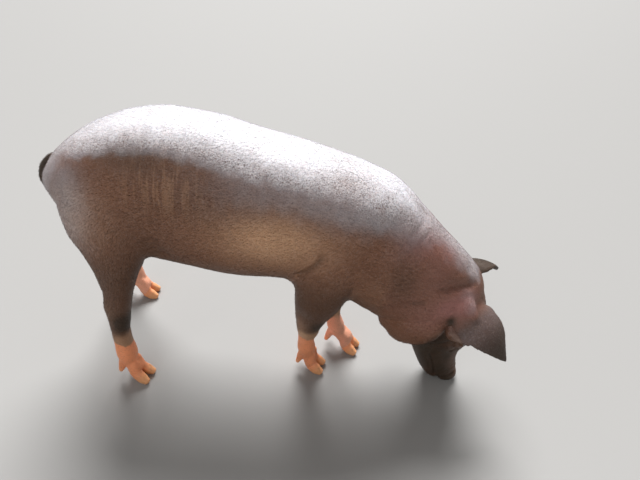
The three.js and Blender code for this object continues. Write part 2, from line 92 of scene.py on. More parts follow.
LIMBS = {
    "fore_right": [
        (0.292, -0.088, 0.520, 0.084, 0.084, 0.058, 2.1),
        (0.272, -0.104, 0.430, 0.080, 0.080, 0.054, 2.1),
        (0.258, -0.104, 0.345, 0.062, 0.062, 0.047, 2.1),
        (0.246, -0.092, 0.280, 0.045, 0.048, 0.037, 2.1),
        (0.238, -0.078, 0.218, 0.033, 0.036, 0.031, 2.2),
        (0.234, -0.068, 0.172, 0.026, 0.027, 0.025, 2.1),
        (0.232, -0.059, 0.135, 0.023, 0.025, 0.023, 2.1),
        (0.234, -0.053, 0.098, 0.025, 0.028, 0.027, 2.2),
        (0.241, -0.049, 0.066, 0.020, 0.020, 0.023, 2.2),
    ],
    "fore_left": [
        (0.296, 0.088, 0.520, 0.084, 0.084, 0.058, 2.1),
        (0.284, 0.102, 0.430, 0.080, 0.080, 0.054, 2.1),
        (0.282, 0.098, 0.345, 0.062, 0.062, 0.046, 2.1),
        (0.286, 0.084, 0.275, 0.043, 0.046, 0.036, 2.1),
        (0.292, 0.070, 0.212, 0.033, 0.035, 0.031, 2.2),
        (0.295, 0.060, 0.168, 0.025, 0.026, 0.025, 2.1),
        (0.300, 0.054, 0.132, 0.022, 0.024, 0.023, 2.1),
        (0.310, 0.050, 0.098, 0.025, 0.028, 0.027, 2.2),
        (0.324, 0.048, 0.066, 0.020, 0.020, 0.023, 2.2),
    ],
    "hind_right": [
        (-0.256, -0.084, 0.604, 0.080, 0.074, 0.052, 2.1),
        (-0.260, -0.098, 0.545, 0.108, 0.108, 0.067, 2.2),
        (-0.252, -0.108, 0.485, 0.108, 0.106, 0.066, 2.2),
        (-0.246, -0.122, 0.428, 0.080, 0.082, 0.057, 2.1),
        (-0.243, -0.138, 0.372, 0.050, 0.056, 0.044, 2.1),
        (-0.243, -0.150, 0.318, 0.033, 0.044, 0.034, 2.1),
        (-0.250, -0.158, 0.258, 0.027, 0.037, 0.029, 2.2),
        (-0.257, -0.162, 0.205, 0.025, 0.026, 0.026, 2.1),
        (-0.258, -0.164, 0.155, 0.025, 0.025, 0.025, 2.1),
        (-0.254, -0.166, 0.104, 0.028, 0.029, 0.029, 2.2),
        (-0.250, -0.166, 0.068, 0.020, 0.021, 0.023, 2.2),
    ],
    "hind_left": [
        (-0.258, 0.084, 0.604, 0.080, 0.074, 0.052, 2.1),
        (-0.266, 0.098, 0.545, 0.108, 0.108, 0.067, 2.2),
        (-0.266, 0.108, 0.485, 0.108, 0.104, 0.066, 2.2),
        (-0.272, 0.120, 0.428, 0.080, 0.080, 0.056, 2.1),
        (-0.290, 0.134, 0.372, 0.050, 0.054, 0.044, 2.1),
        (-0.311, 0.144, 0.318, 0.033, 0.040, 0.034, 2.1),
        (-0.338, 0.150, 0.258, 0.026, 0.033, 0.029, 2.2),
        (-0.362, 0.154, 0.205, 0.022, 0.026, 0.025, 2.1),
        (-0.374, 0.156, 0.155, 0.021, 0.024, 0.022, 2.1),
        (-0.373, 0.158, 0.104, 0.025, 0.028, 0.026, 2.2),
        (-0.360, 0.158, 0.068, 0.020, 0.021, 0.023, 2.2),
    ],
}
# Where each foot stands, and the way its toes point, in radians from +X.
FEET = {
    "fore_right": (0.252, -0.047, -0.1),
    "fore_left": (0.350, 0.046, -0.2),
    "hind_right": (-0.234, -0.166, -0.1),
    "hind_left": (-0.344, 0.156, 0.18),
}
# The skull's stations are in the head's frame: +X down the face, +Z out of the forehead, +Y left.
SKULL = [
    (0.004, 0, 0.020, 0.062, 0.050, 0.068, 2.2),
    (0.040, 0, 0.018, 0.076, 0.074, 0.078, 2.3),
    (0.090, 0, 0.012, 0.088, 0.088, 0.080, 2.3),
    (0.135, 0, 0.010, 0.086, 0.092, 0.073, 2.3),
    (0.178, 0, 0.005, 0.079, 0.088, 0.064, 2.3),
    (0.218, 0, 0.003, 0.072, 0.078, 0.053, 2.3),
    (0.258, 0, 0.010, 0.061, 0.066, 0.047, 2.3),
    (0.300, 0, 0.024, 0.052, 0.058, 0.041, 2.3),
    (0.331, 0, 0.039, 0.046, 0.050, 0.038, 2.3),
]
EYE = np.array([0.150, 0.058, 0.050])  # centre of the left eyeball, in the head's frame
RIGHT_EYE = EYE * (1, -1, 1)
EYE_RADIUS = 0.012
EYE_GAP = 0.0004  # between the eyeball and the sphere that the lids lie on
CORNEA = 0.0012  # how far the cornea stands out from the eyeball
GAZE = np.array([-0.10, 0.83, 0.55])  # the way the left eye looks, in the head's frame
DISC = {"along": 0.348, "up": 0.058, "half": 0.036, "rise": 0.032, "lean": 0.32, "depth": 0.015}
NOSTRIL = {"apart": 0.0125, "up": 0.002, "wide": 0.0058, "tall": 0.0082, "deep": 0.013, "rim": 0.0009}
# The ears, in the head's frame: three places that bend the spine, the way the hollow faces, and the share
# of the greatest width.
EARS = {
    "left": {
        "spine": [(-0.012, 0.060, 0.012), (-0.040, 0.109, 0.075), (0.040, 0.138, 0.147)],
        "hollow": (0.88, -0.45, 0.1),
        "share": 0.88,
    },
    "right": {
        "spine": [(-0.004, -0.062, 0.010), (0.004, -0.124, 0.078), (0.116, -0.134, 0.146)],
        "hollow": (0.62, 0.62, -0.48),
        "share": 1.05,
    },
}
EAR_BEND = (1.5, 0.42)  # angle from the middle of the sheet to its edge, at the root and near the tip
EAR_WAVE = 0.0022  # height of the waves along its edges
# The swelling at the root of the right ear, in the body's frame. It is mirrored on the left.
EAR_ROOT = [
    (0.600, -0.040, 0.376, 0.036, 0.034, 0.034, 2),
    (0.616, -0.068, 0.370, 0.030, 0.030, 0.030, 2),
    (0.634, -0.084, 0.353, 0.024, 0.024, 0.026, 2),
    (0.656, -0.097, 0.335, 0.017, 0.017, 0.020, 2),
    (0.684, -0.110, 0.318, 0.009, 0.009, 0.011, 2),
]
# The rolled margin of an ear: how far it is pushed away from the ear's rear edge at most, and along it the
# row of the ear's grid, the share of the push and the radius.
EAR_PUSH = np.array([-0.010, -0.005, -0.005])
EAR_ROLL = [
    (1, 0.0, 0.004),
    (5, 0.3, 0.006),
    (10, 0.8, 0.0085),
    (16, 1.0, 0.0095),
    (22, 0.7, 0.0065),
    (30, 0.2, 0.003),
]
TEATS = {"pairs": 6, "first": -0.190, "last": 0.225, "apart": 0.046, "radius": 0.0062, "proud": 0.0075}
TOE = {"apart": 0.014, "splay": 0.13, "width": 0.0135}
DEWCLAW = {"apart": 0.016, "back": 0.021, "width": 0.0095, "low": 0.036}
FLESH_NODES = [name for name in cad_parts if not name.startswith(("hoof_", "dewclaw_", "eye_"))]


# ------------------------------------------------------------------ what a user may change


def length(name, description, default):
    """A size in metres."""
    return bpy.props.FloatProperty(
        name=name, description=description, default=default, unit="LENGTH", precision=4
    )


def colour(name, description, default):
    """A linear colour."""
    return bpy.props.FloatVectorProperty(
        name=name, description=description, default=default, subtype="COLOR", size=3, min=0, max=1
    )


class PigShape(bpy.types.PropertyGroup):
    coat_depth: length("Coat depth", "How far the skin of the body lies inside the solids", 0.003)
    foot_depth: length("Foot depth", "How far the skin of the feet lies inside the solids", 0.0015)
    ear_width: length("Ear width", "Greatest width of an ear's flap", 0.148)
    ear_thickness: length("Ear thickness", "Thickness of an ear in the middle of its flap", 0.0052)
    cell: length("Cell", "Size of the cells in which the body's masses are merged", 0.0024)
    triangles: bpy.props.IntProperty(
        name="Triangles", description="Triangles of the skin before its folds are refined", default=131000
    )


class PigColours(bpy.types.PropertyGroup):
    hide: colour("Hide", "Skin of the flanks", (0.205, 0.090, 0.049))
    # Painted sunlit sheen of the back, over its silvery hair.
    back: colour("Back", "Skin of the back", (0.740, 0.730, 0.770))
    # Painted grey sheen where the back's painted highlight turns into the flank.
    sheen: colour("Sheen", "Grey between the flank and the back", (0.250, 0.212, 0.220))
    # Tan hair of the cannons, also used for painted light reflected from the floor onto the shoulder and
    # lower flank.
    belly: colour("Belly", "Tan of the shoulder, lower flank and cannons", (0.590, 0.345, 0.200))
    # Painted shade in the folds and hollows, under the belly, on the jaw and over the left ear, and the dark
    # of the shanks, tail, skin's grain and horn stains.
    shade: colour("Shade", "Dark of the folds, shanks, jaw and tail", (0.036, 0.022, 0.012))
    flush: colour("Flush", "Reddened skin of the neck and cheek", (0.400, 0.180, 0.160))
    ear: colour("Ear", "Back of the ears", (0.125, 0.086, 0.080))
    foot: colour("Foot", "Bare skin of the feet", (0.860, 0.315, 0.150))
    foot_pink: colour("Pink foot", "Bare skin of the left feet", (0.860, 0.400, 0.260))
    snout: colour("Snout", "Nose disc", (0.130, 0.085, 0.080))
    # Silvery tips of the bristles, also laid on as painted glints of lit hairs.
    bristle: colour("Bristle", "Silvery tips of the bristles", (0.640, 0.590, 0.580))
    horn: colour("Horn", "Horn of the hooves at the coronet", (0.820, 0.310, 0.140))
    horn_tip: colour("Horn tip", "Worn horn at the toe", (0.760, 0.360, 0.160))
    iris: colour("Iris", "Iris of the eye", (0.060, 0.026, 0.012))


class PigCoat(bpy.types.PropertyGroup):
    body_length: length("Bristle length", "Length of a bristle on the body", 0.0095)
    face_length: length("Face length", "Length of a bristle on the face and feet", 0.005)
    width: length("Bristle width", "Width of a tuft of bristles at its root", 0.0007)
    lift: bpy.props.FloatProperty(
        name="Lift", description="Angle between a bristle's root and the skin", default=0.30, subtype="ANGLE"
    )
    tufts: bpy.props.IntProperty(name="Tufts", description="Number of tufts of bristles", default=125000)
    seed: bpy.props.IntProperty(name="Seed", description="Seed of the bristles' places", default=7)


# ------------------------------------------------------------------ surfaces


def unit(vectors):
    """Each vector divided by its length."""
    return vectors / np.maximum(np.linalg.norm(vectors, axis=-1, keepdims=True), 1e-12)


def smoothstep(low, high, value):
    """0 below low, 1 above high and 3t^2 - 2t^3 between them."""
    t = np.clip((value - low) / (high - low), 0, 1)
    return t * t * (3 - 2 * t)


def curve(points, at):
    """Points at parameters 0 to 1 on the centripetal Catmull-Rom curve: between two neighbours it is the
    cubic whose end slopes come from the gaps to their neighbours, each gap being the root of a distance."""
    points = np.asarray(points, float)
    padded = np.vstack([2 * points[0] - points[1], points, 2 * points[-1] - points[-2]])
    spans = len(points) - 1
    first = np.minimum((np.asarray(at) * spans).astype(int), spans - 1)
    w = (np.asarray(at) * spans - first)[:, None]
    a, b, c, d = (padded[first + k] for k in range(4))
    gaps = (np.linalg.norm(q - p, axis=1) for p, q in ((a, b), (b, c), (c, d)))
    before, here, after = (np.sqrt(np.maximum(gap, 1e-9))[:, None] for gap in gaps)
    leave = ((b - a) / before - (c - a) / (before + here) + (c - b) / here) * here
    arrive = ((c - b) / here - (d - b) / (here + after) + (d - c) / after) * here
    return (
        b * (2 * w**3 - 3 * w**2 + 1)
        + leave * (w**3 - 2 * w**2 + w)
        + c * (3 * w**2 - 2 * w**3)
        + arrive * (w**3 - w**2)
    )


def closed_rows(rows, sides):
    """Triangles between rings of points, one ring after another, closed by a fan to a pole at each end. The
    poles are the last two points."""
    i, k = np.meshgrid(np.arange(rows - 1), np.arange(sides), indexing="ij")
    a, b = i * sides + k, i * sides + (k + 1) % sides
    c, d = b + sides, a + sides
    body = np.concatenate([np.stack([a, b, c], -1), np.stack([a, c, d], -1)]).reshape(-1, 3)
    k = np.arange(sides)
    after = (k + 1) % sides
    last = (rows - 1) * sides
    start = np.stack([np.full(sides, rows * sides), after, k], -1)
    end = np.stack([last + k, last + after, np.full(sides, rows * sides + 1)], -1)
    return np.concatenate([body, start, end])


SECTION_GAP = 0.02  # usual distance between two sections of a tube


class Tube:
    """A surface carried along a path. Its centre line is the curve through the stations, and a section is
    the superellipse |across / half width|^p + |above / rise or drop|^p = 1, where p is the squareness. Each
    end shrinks along a quarter of an ellipse to a pole."""

    def __init__(self, stations, sides=40, steps=5, caps=(0.02, 0.02), inset=0.0, rounds=5):
        table = np.array(stations, float)
        spans = len(table) - 1
        quarter = (np.arange(rounds) + 0.5) / rounds * np.pi / 2
        at = np.linspace(0, 1, spans * steps + 1)
        at = np.concatenate([np.zeros(rounds), at, np.ones(rounds)])
        flat = np.zeros(spans * steps + 1)
        first, last = caps[0] - inset, caps[1] - inset
        shift = np.concatenate([-first * np.sin(quarter[::-1]), flat, last * np.sin(quarter)])
        scale = np.concatenate([np.cos(quarter[::-1]), flat + 1, np.cos(quarter)])
        step = 1e-4
        centre = curve(table[:, :3], at)
        self.tangent = unit(
            curve(table[:, :3], np.minimum(at + step, 1)) - curve(table[:, :3], np.maximum(at - step, 0))
        )
        sideways = np.array([0.0, 1.0, 0.0])
        across = unit(sideways - self.tangent * self.tangent[:, 1:2])
        above = np.cross(self.tangent, across)
        full = curve(table[:, 3:6], at) - inset
        size = full * scale[:, None]
        power = 2 / np.interp(at * spans, np.arange(spans + 1), table[:, 6])[:, None]
        turn = 2 * np.pi * np.arange(sides) / sides
        cosine, sine = np.cos(turn)[None], np.sin(turn)[None]
        x = size[:, 2:3] * np.sign(cosine) * np.abs(cosine) ** power
        y = np.where(sine > 0, size[:, 0:1], size[:, 1:2]) * np.sign(sine) * np.abs(sine) ** power
        self.across, self.above, self.sizes = across, above, full
        self.centre = centre + self.tangent * shift[:, None]
        self.rows = self.centre[:, None] + across[:, None] * x[..., None] + above[:, None] * y[..., None]
        self.poles = (
            self.centre[0] - self.tangent[0] * first * (1 - np.sin(quarter[-1])),
            self.centre[-1] + self.tangent[-1] * last * (1 - np.sin(quarter[-1])),
        )

    def moved(self, turn, place):
        """The tube turned by a matrix and then moved."""
        self.rows = self.rows @ turn.T + place
        self.centre = self.centre @ turn.T + place
        for name in ("tangent", "across", "above"):
            setattr(self, name, getattr(self, name) @ turn.T)
        self.poles = tuple(pole @ turn.T + place for pole in self.poles)
        return self

    def survey(self, points):
        """Where each point is on the tube: its relative distance from the nearest section, which is 1 on the
        surface, the shares of the way along and round the tube, and the tangent there. The distance is the
        root of (across / half width)^2 + (above / rise or drop)^2 + (along / half of the half width)^2."""
        q = points[:, None] - self.centre
        a, b, c = ((q * ways).sum(-1) for ways in (self.tangent, self.across, self.above))
        upright = np.where(c > 0, self.sizes[:, 0], self.sizes[:, 1])
        width = self.sizes[:, 2]
        away = np.sqrt((b / width) ** 2 + (c / upright) ** 2 + (a / (0.5 * width)) ** 2)
        row = away.argmin(1)
        here = np.arange(len(points))
        bend = np.arctan2(c[here, row] / upright[here, row], b[here, row] / width[row]) / (2 * np.pi) + 0.5
        past = np.clip(a[here, row] / SECTION_GAP, -0.5, 0.5)
        along = (row + past) / len(self.centre)
        return away[here, row], np.clip(along, 0, 1), bend, self.tangent[row]

    def shell(self):
        """Its points and triangles."""
        rows, sides = self.rows.shape[:2]
        return np.vstack([self.rows.reshape(-1, 3), self.poles]), closed_rows(rows, sides)


def sheet_shell(outer, inner, flip):
    """Points and triangles of two like grids of points, back to back and joined along their four edges."""
    rows, columns = outer.shape[:2]
    points = np.concatenate([outer.reshape(-1, 3), inner.reshape(-1, 3)])
    number = np.arange(2 * rows * columns).reshape(2, rows, columns)

    def quads(a, b, c, d):
        """Two triangles for each quad."""
        return np.array([[a, b, c], [a, c, d]]).swapaxes(0, 1).reshape(3, -1).T

    o, n = number
    faces = [
        quads(o[:-1, :-1], o[:-1, 1:], o[1:, 1:], o[1:, :-1]),
        quads(n[:-1, :-1], n[1:, :-1], n[1:, 1:], n[:-1, 1:]),
        quads(o[:-1, 0], o[1:, 0], n[1:, 0], n[:-1, 0]),
        quads(o[:-1, -1], n[:-1, -1], n[1:, -1], o[1:, -1]),
        quads(o[0, :-1], n[0, :-1], n[0, 1:], o[0, 1:]),
        quads(o[-1, :-1], o[-1, 1:], n[-1, 1:], n[-1, :-1]),
    ]
    faces = np.concatenate(faces)
    return points, faces[:, ::-1] if flip else faces


def joined(shells):
    """The shells' points and faces as one list each."""
    counts = np.cumsum([0] + [len(points) for points, _ in shells])
    return (
        np.concatenate([points for points, _ in shells]),
        np.concatenate([faces + start for (_, faces), start in zip(shells, counts)]),
    )


def mesh_of(name, points, faces):
    """A smooth-shaded mesh from arrays of points and of faces that all have the same number of corners."""
    mesh = bpy.data.meshes.new(name)
    corners = faces.shape[1]
    mesh.vertices.add(len(points))
    mesh.vertices.foreach_set("co", np.ascontiguousarray(points, np.float32).ravel())
    mesh.loops.add(faces.size)
    mesh.loops.foreach_set("vertex_index", np.ascontiguousarray(faces, np.int32).ravel())
    mesh.polygons.add(len(faces))
    mesh.polygons.foreach_set("loop_start", np.arange(0, faces.size, corners, dtype=np.int32))
    mesh.polygons.foreach_set("loop_total", np.full(len(faces), corners, np.int32))
    mesh.update(calc_edges=True)
    mesh.polygons.foreach_set("use_smooth", np.ones(len(faces), bool))
    mesh.validate()
    return mesh


def arrays_of(mesh):
    """A mesh's points and its faces as triangles."""
    points = np.zeros(len(mesh.vertices) * 3, np.float32)
    mesh.vertices.foreach_get("co", points)
    mesh.calc_loop_triangles()
    faces = np.zeros(len(mesh.loop_triangles) * 3, np.int32)
    mesh.loop_triangles.foreach_get("vertices", faces)
    return points.reshape(-1, 3).astype(float), faces.reshape(-1, 3)


WEIGHT_STEPS = 30  # weights of a vertex group are rounded to such steps


def through_modifier(points, faces, kind, weights=None, **settings):
    """The points and triangles that one modifier makes of a surface. Weights of 0 to 1 at the points become
    the modifier's vertex group."""
    mesh = mesh_of("work", points, faces)
    item = bpy.data.objects.new("work", mesh)
    bpy.context.scene.collection.objects.link(item)
    if weights is not None:
        group = item.vertex_groups.new(name="weight")
        steps = np.round(weights * WEIGHT_STEPS).astype(int)
        for step in np.unique(steps):
            group.add(np.flatnonzero(steps == step).tolist(), step / WEIGHT_STEPS, "REPLACE")
        settings["vertex_group"] = "weight"
    modifier = item.modifiers.new("work", kind)
    for key, value in settings.items():
        setattr(modifier, key, value)
    made = bpy.data.meshes.new_from_object(item.evaluated_get(bpy.context.evaluated_depsgraph_get()))
    result = arrays_of(made)
    bpy.data.objects.remove(item)
    bpy.data.meshes.remove(mesh)
    bpy.data.meshes.remove(made)
    return result


def normals_of(points, faces):
    """The mean of the neighbouring triangles' normals at each point, by area."""
    a, b, c = (points[faces[:, k]] for k in range(3))
    flat = np.cross(b - a, c - a)
    total = np.stack(
        [
            sum(np.bincount(faces[:, k], flat[:, axis], len(points)) for k in range(3))
            for axis in range(3)
        ],
        -1,
    )
    return unit(total)


def edges_of(faces):
    """Each edge of the triangles once."""
    pairs = np.sort(np.concatenate([faces[:, [0, 1]], faces[:, [1, 2]], faces[:, [2, 0]]]), axis=1)
    key = np.unique(pairs[:, 0].astype(np.int64) * (faces.max() + 1) + pairs[:, 1])
    return np.stack([key // (faces.max() + 1), key % (faces.max() + 1)], -1)


def relaxed(values, edges, rounds):
    """Values moved half of the way to the mean of their neighbours', round after round."""
    both = np.concatenate([edges, edges[:, ::-1]])
    count = np.maximum(np.bincount(both[:, 0], minlength=len(values)), 1)[:, None]
    for _ in range(rounds):
        sums = [np.bincount(both[:, 0], column[both[:, 1]], len(values)) for column in values.T]
        values = values + 0.5 * (np.stack(sums, -1) / count - values)
    return values


def refined(points, faces, inside):
    """The triangles again, with every edge whose two ends are inside cut at its middle."""
    edges = edges_of(faces)
    cut = inside[edges[:, 0]] & inside[edges[:, 1]]
    size = len(points)
    key = edges[cut, 0] * size + edges[cut, 1]
    middles = (points[edges[cut, 0]] + points[edges[cut, 1]]) / 2

    def middle(a, b):
        """Number of the point at the middle of the edge from a to b, or -1 where it isn't cut."""
        wanted = np.minimum(a, b).astype(np.int64) * size + np.maximum(a, b)
        place = np.minimum(np.searchsorted(key, wanted), len(key) - 1)
        return np.where(key[place] == wanted, size + place, -1)

    def add(where, *triangles):
        """Adds those triangles, given by their corners, wherever that holds."""
        made.extend(np.stack([corner[where] for corner in triangle], -1) for triangle in triangles)

    made = []
    a, b, c = faces.T
    ab, bc, ca = middle(a, b), middle(b, c), middle(c, a)
    count = (ab >= 0).astype(int) + (bc >= 0) + (ca >= 0)
    add(count == 0, (a, b, c))
    add(count == 3, (a, ab, ca), (ab, b, bc), (ca, bc, c), (ab, bc, ca))
    for p, q, r, pq, qr, rp in ((a, b, c, ab, bc, ca), (b, c, a, bc, ca, ab), (c, a, b, ca, ab, bc)):
        add((count == 1) & (pq >= 0), (p, pq, r), (pq, q, r))
        add((count == 2) & (rp < 0), (p, pq, r), (pq, q, qr), (pq, qr, r))
    return np.vstack([points, middles]), np.concatenate(made)


def piece(name, points, faces, masks, material):
    """A piece of the model from points in the body's frame: an object at the origin that rides on the one
    body and has its finish, with each mask as a number at each point."""
    mesh = mesh_of(name, points - ORIGIN, faces)
    for mask, values in masks.items():
        layer = mesh.attributes.new(mask, "FLOAT", "POINT")
        layer.data.foreach_set("value", np.ascontiguousarray(values, np.float32))
    mesh.materials.append(material)
    item = bpy.data.objects.new(name, mesh)
    bpy.context.scene.collection.objects.link(item)
    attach(item, "root")
    return item


# ------------------------------------------------------------------ masses of the body

HEAD_TURN = np.array([[0.0, 0.0, 1.0], [0.0, 1.0, 0.0], [-1.0, 0.0, 0.0]])  # head's axes in the body's frame


def in_head(points):
    """Points of the head's frame in the body's."""
    return np.asarray(points) @ HEAD_TURN.T + POLL


def to_head(points):
    """Points of the body's frame in the head's."""
    return (points - POLL) @ HEAD_TURN


def mirrored(stations, sign):
    """Stations on the side of the body that the sign names."""
    return [(x, sign * y, *rest) for x, y, *rest in stations]


def disc_turn():
    """The nose disc's axes in the head's frame: it leans forward."""
    c, s = np.cos(DISC["lean"]), np.sin(DISC["lean"])
    return np.array([[c, 0, -s], [0, 1, 0], [s, 0, c]])


def to_disc(points):
    """Points of the head's frame in the nose disc's, whose +X is the way the disc faces."""
    return (points - (DISC["along"], 0, DISC["up"])) @ disc_turn()


def eye_at(sign):
    """The centre of an eyeball and the way it looks, in the body's frame."""
    return in_head(EYE * (1, sign, 1)), unit((GAZE * (1, sign, 1)) @ HEAD_TURN.T)


def nose_disc(inset):
    """The flat disc at the end of the muzzle, a short squarish tube."""
    half, rise = DISC["half"], DISC["rise"]
    stations = [
        (-DISC["depth"], 0, 0, rise - 0.004, rise - 0.002, half - 0.002, 2.2),
        (-0.004, 0, 0, rise, rise, half, 2.3),
        (0.004, 0, 0, rise, rise - 0.001, half, 2.3),
    ]
    tube = Tube(stations, caps=(0.004, 0.004), inset=inset, rounds=3)
    tube.moved(disc_turn(), np.array([DISC["along"], 0, DISC["up"]]))
    return tube.moved(HEAD_TURN, POLL)


def ear_layers(name, width, thickness, rows=60, columns=44):
    """The ear's two faces as grids of points. Its spine is a quadratic curve from the root over a knee to the
    tip. Across it the sheet is an arc as long as the leaf is wide there, nearly closed at the root and
    flatter towards the tip. It thins towards its two edges, and they are a little wavy."""
    sign = SIDES[name]
    root, knee, tip = np.array(EARS[name]["spine"])
    s = np.linspace(0, 1, rows)[:, None]
    spine = root * (1 - s) ** 2 + 2 * knee * s * (1 - s) + tip * s**2
    tangent = unit((knee - root) * (1 - s) + (tip - knee) * s)
    facing = unit(np.array(EARS[name]["hollow"]))
    inward = unit(facing - tangent * (tangent @ facing)[:, None])
    across = np.cross(tangent, inward) * sign
    leaf = width * EARS[name]["share"] * (0.6 + 1.7 * s * (1 - s) ** 1.4) * np.maximum(1 - s**3, 0) ** 0.7
    half = np.maximum(leaf, 0.010) / 2
    at_root, at_tip = EAR_BEND
    spread = at_root + (at_tip - at_root) * np.minimum(1, s * 1.7)
    radius = half / spread
    t = np.linspace(-1, 1, columns)[None]
    angle = t * spread
    edge = np.sqrt(np.maximum(1 - np.abs(t) ** 6, 0.0)) * 0.75 + 0.25
    ripple = EAR_WAVE * np.sin(s * 17 + 2.1 * t * sign) * np.abs(t) ** 3
    layers = []
    for side in (1, -1):
        r = radius + side * thickness / 2 * edge + ripple
        layers.append(
            spine[:, None]
            + across[:, None] * (r * np.sin(angle))[..., None]
            + inward[:, None] * (radius - r * np.cos(angle))[..., None]
        )
    return in_head(layers[0]), in_head(layers[1])


def ear_roll(name, shape):
    """The thick rolled margin at the root of an ear's rear edge, a tube that follows the edge."""
    outer, inner = ear_layers(name, shape.ear_width, shape.ear_thickness)
    edge = ((outer + inner) / 2)[:, -1]
    push = EAR_PUSH * (1, -SIDES[name], 1)
    stations = [(*(edge[row] + push * share), r, r, r, 2) for row, share, r in EAR_ROLL]
    return Tube(stations, sides=24, caps=(0.006, 0.006), rounds=4)


def foot_turn(name):
    """The axes of a foot in the body's frame."""
    turn = FEET[name][2]
    c, s = np.cos(turn), np.sin(turn)
    return np.array([[c, -s, 0], [s, c, 0], [0, 0, 1.0]])


def foot_place(name):
    """The origin of a foot in the body's frame, on the floor."""
    return np.array([FEET[name][0], FEET[name][1], 0.0])


def fetlock(name):
    """The fetlock of a limb, seen from its foot's own frame."""
    return (np.array(LIMBS[name][-2][:3]) - foot_place(name)) @ foot_turn(name)


def foot_tube(name, stations, inset, sides=28, steps=4, caps=(0.006, 0.006)):
    """A tube whose stations are in a foot's own frame, moved to where the foot stands."""
    tube = Tube(stations, sides=sides, steps=steps, caps=caps, inset=inset, rounds=4)
    return tube.moved(foot_turn(name), foot_place(name))


def toe(name, sign, inset, sides=28, steps=4):
    """One main toe, from the fetlock down and forward to its tip, splayed outwards."""

    def out(x):
        """How far to the side the toe's middle lies, that far forward."""
        return sign * (TOE["apart"] + np.tan(TOE["splay"]) * max(0, x))

    width = TOE["width"]
    stations = [
        (fetlock(name)[0] + 0.010, sign * 0.010, 0.072, 0.020, 0.020, 0.013, 2.1),
        (-0.005, out(0) - sign * 0.002, 0.046, 0.020, 0.019, width + 0.001, 2.2),
        (0.003, out(0), 0.026, 0.020, 0.019, width, 2.3),
        (0.020, out(0.020), 0.015, 0.016, 0.020, width - 0.0005, 2.4),
        (0.034, out(0.034), 0.008, 0.010, 0.015, width - 0.004, 2.3),
    ]
    return foot_tube(name, stations, inset, sides, steps, caps=(0.006, 0.007))


def pastern(name, inset):
    """The foot between fetlock and toes, which keeps them together down to where they part."""
    top = fetlock(name)
    stations = [
        (top[0] + 0.002, 0, 0.070, 0.021, 0.021, 0.023, 2.2),
        (-0.003, 0, 0.051, 0.020, 0.018, 0.024, 2.3),
        (0.004, 0, 0.035, 0.016, 0.015, 0.019, 2.3),
    ]
    return foot_tube(name, stations, inset)


def dewclaw(name, sign, inset, sides=20, steps=4):
    """One of the two small toes behind the fetlock."""
    top = fetlock(name)
    tip = top[0] - DEWCLAW["back"]
    apart, width, low = DEWCLAW["apart"], DEWCLAW["width"], DEWCLAW["low"]
    stations = [
        (top[0] - 0.006, sign * 0.011, top[2] - 0.008, 0.015, 0.014, 0.014, 2),
        (tip + 0.006, sign * (apart + 0.001), low + 0.022, 0.013, 0.012, width + 0.001, 2.1),
        (tip, sign * (apart + 0.004), low, 0.007, 0.007, width - 0.003, 2.1),
    ]
    return foot_tube(name, stations, inset, sides, steps)


def masses(shape):
    """Every tube of the body by name, each inside the solids by the depth of its coat."""
    deep, thin = shape.coat_depth, shape.foot_depth
    tubes = {"trunk": Tube(TRUNK, sides=72, steps=6, caps=(0.030, 0.050), inset=deep)}
    tubes["skull"] = Tube(SKULL, sides=56, steps=5, caps=(0.026, 0.008), inset=thin).moved(HEAD_TURN, POLL)
    tubes["nose"] = nose_disc(0.001)
    tubes["tail"] = Tube(TAIL, sides=24, caps=(0.006, 0.014), inset=thin)
    for side, sign in SIDES.items():
        tubes[f"jowl_{side}"] = Tube(mirrored(JOWL, sign), caps=(0.036, 0.026), inset=deep)
        tubes[f"root_{side}"] = Tube(mirrored(EAR_ROOT, sign), sides=32, caps=(0.010, 0.014), inset=thin)
        tubes[f"roll_{side}"] = ear_roll(side, shape)
    for name, stations in LIMBS.items():
        tubes[f"limb_{name}"] = Tube(stations, caps=(0.024, 0.006), inset=thin)
        tubes[f"pastern_{name}"] = pastern(name, thin)
        for side, sign in SIDES.items():
            tubes[f"toe_{name}_{side}"] = toe(name, sign, thin)
            tubes[f"dewclaw_{name}_{side}"] = dewclaw(name, sign, thin)
    return tubes


# ------------------------------------------------------------------ skin


def teat_places():
    """Where the teats hang, as x and y: two rows of evenly spaced places."""
    x = np.linspace(TEATS["first"], TEATS["last"], TEATS["pairs"])
    return np.array([(place, side * TEATS["apart"]) for place in x for side in (-1, 1)])


def teats(trunk):
    """Two rows of teats, each a small tube that hangs from the belly."""
    belly = trunk.rows.reshape(-1, 3)
    made = []
    for x, y in teat_places():
        near = np.linalg.norm(belly[:, :2] - (x, y), axis=1) < 0.03
        z = belly[near, 2].min()
        r = TEATS["radius"]
        stations = [
            (x, y, z + 0.008, r * 1.8, r * 1.8, r * 1.8, 2),
            (x, y, z - 0.001, r, r, r, 2),
            (x, y, z - TEATS["proud"] + 0.004, r * 0.9, r * 0.9, r * 0.9, 2),
        ]
        made.append(Tube(stations, sides=16, steps=3, caps=(0.002, 0.004), rounds=3).shell())
    return made


# How the creases between masses are filled: broadly over the whole body, then closely at the feet and at the
# roots of the ears. Each blend is merged in cells of its own and lies inside the masses where none is filled.
BROAD = {"cell": 0.006, "most": 0.012, "inside": 0.0014}
CLOSE = {"cell": 0.0032, "most_ear": 0.014, "most_foot": 0.005, "inside": 0.0006}
EAR_MEETS = {"place": (0.640, -0.090, 0.350), "reach": 0.085}  # root of the right ear
FOOT_TOP = 0.16
FILL_ROUNDS = 70  # rounds of relaxing, after which a hollow is about level with its surroundings
LOWEST = 0.0004  # least height of the skin above the floor


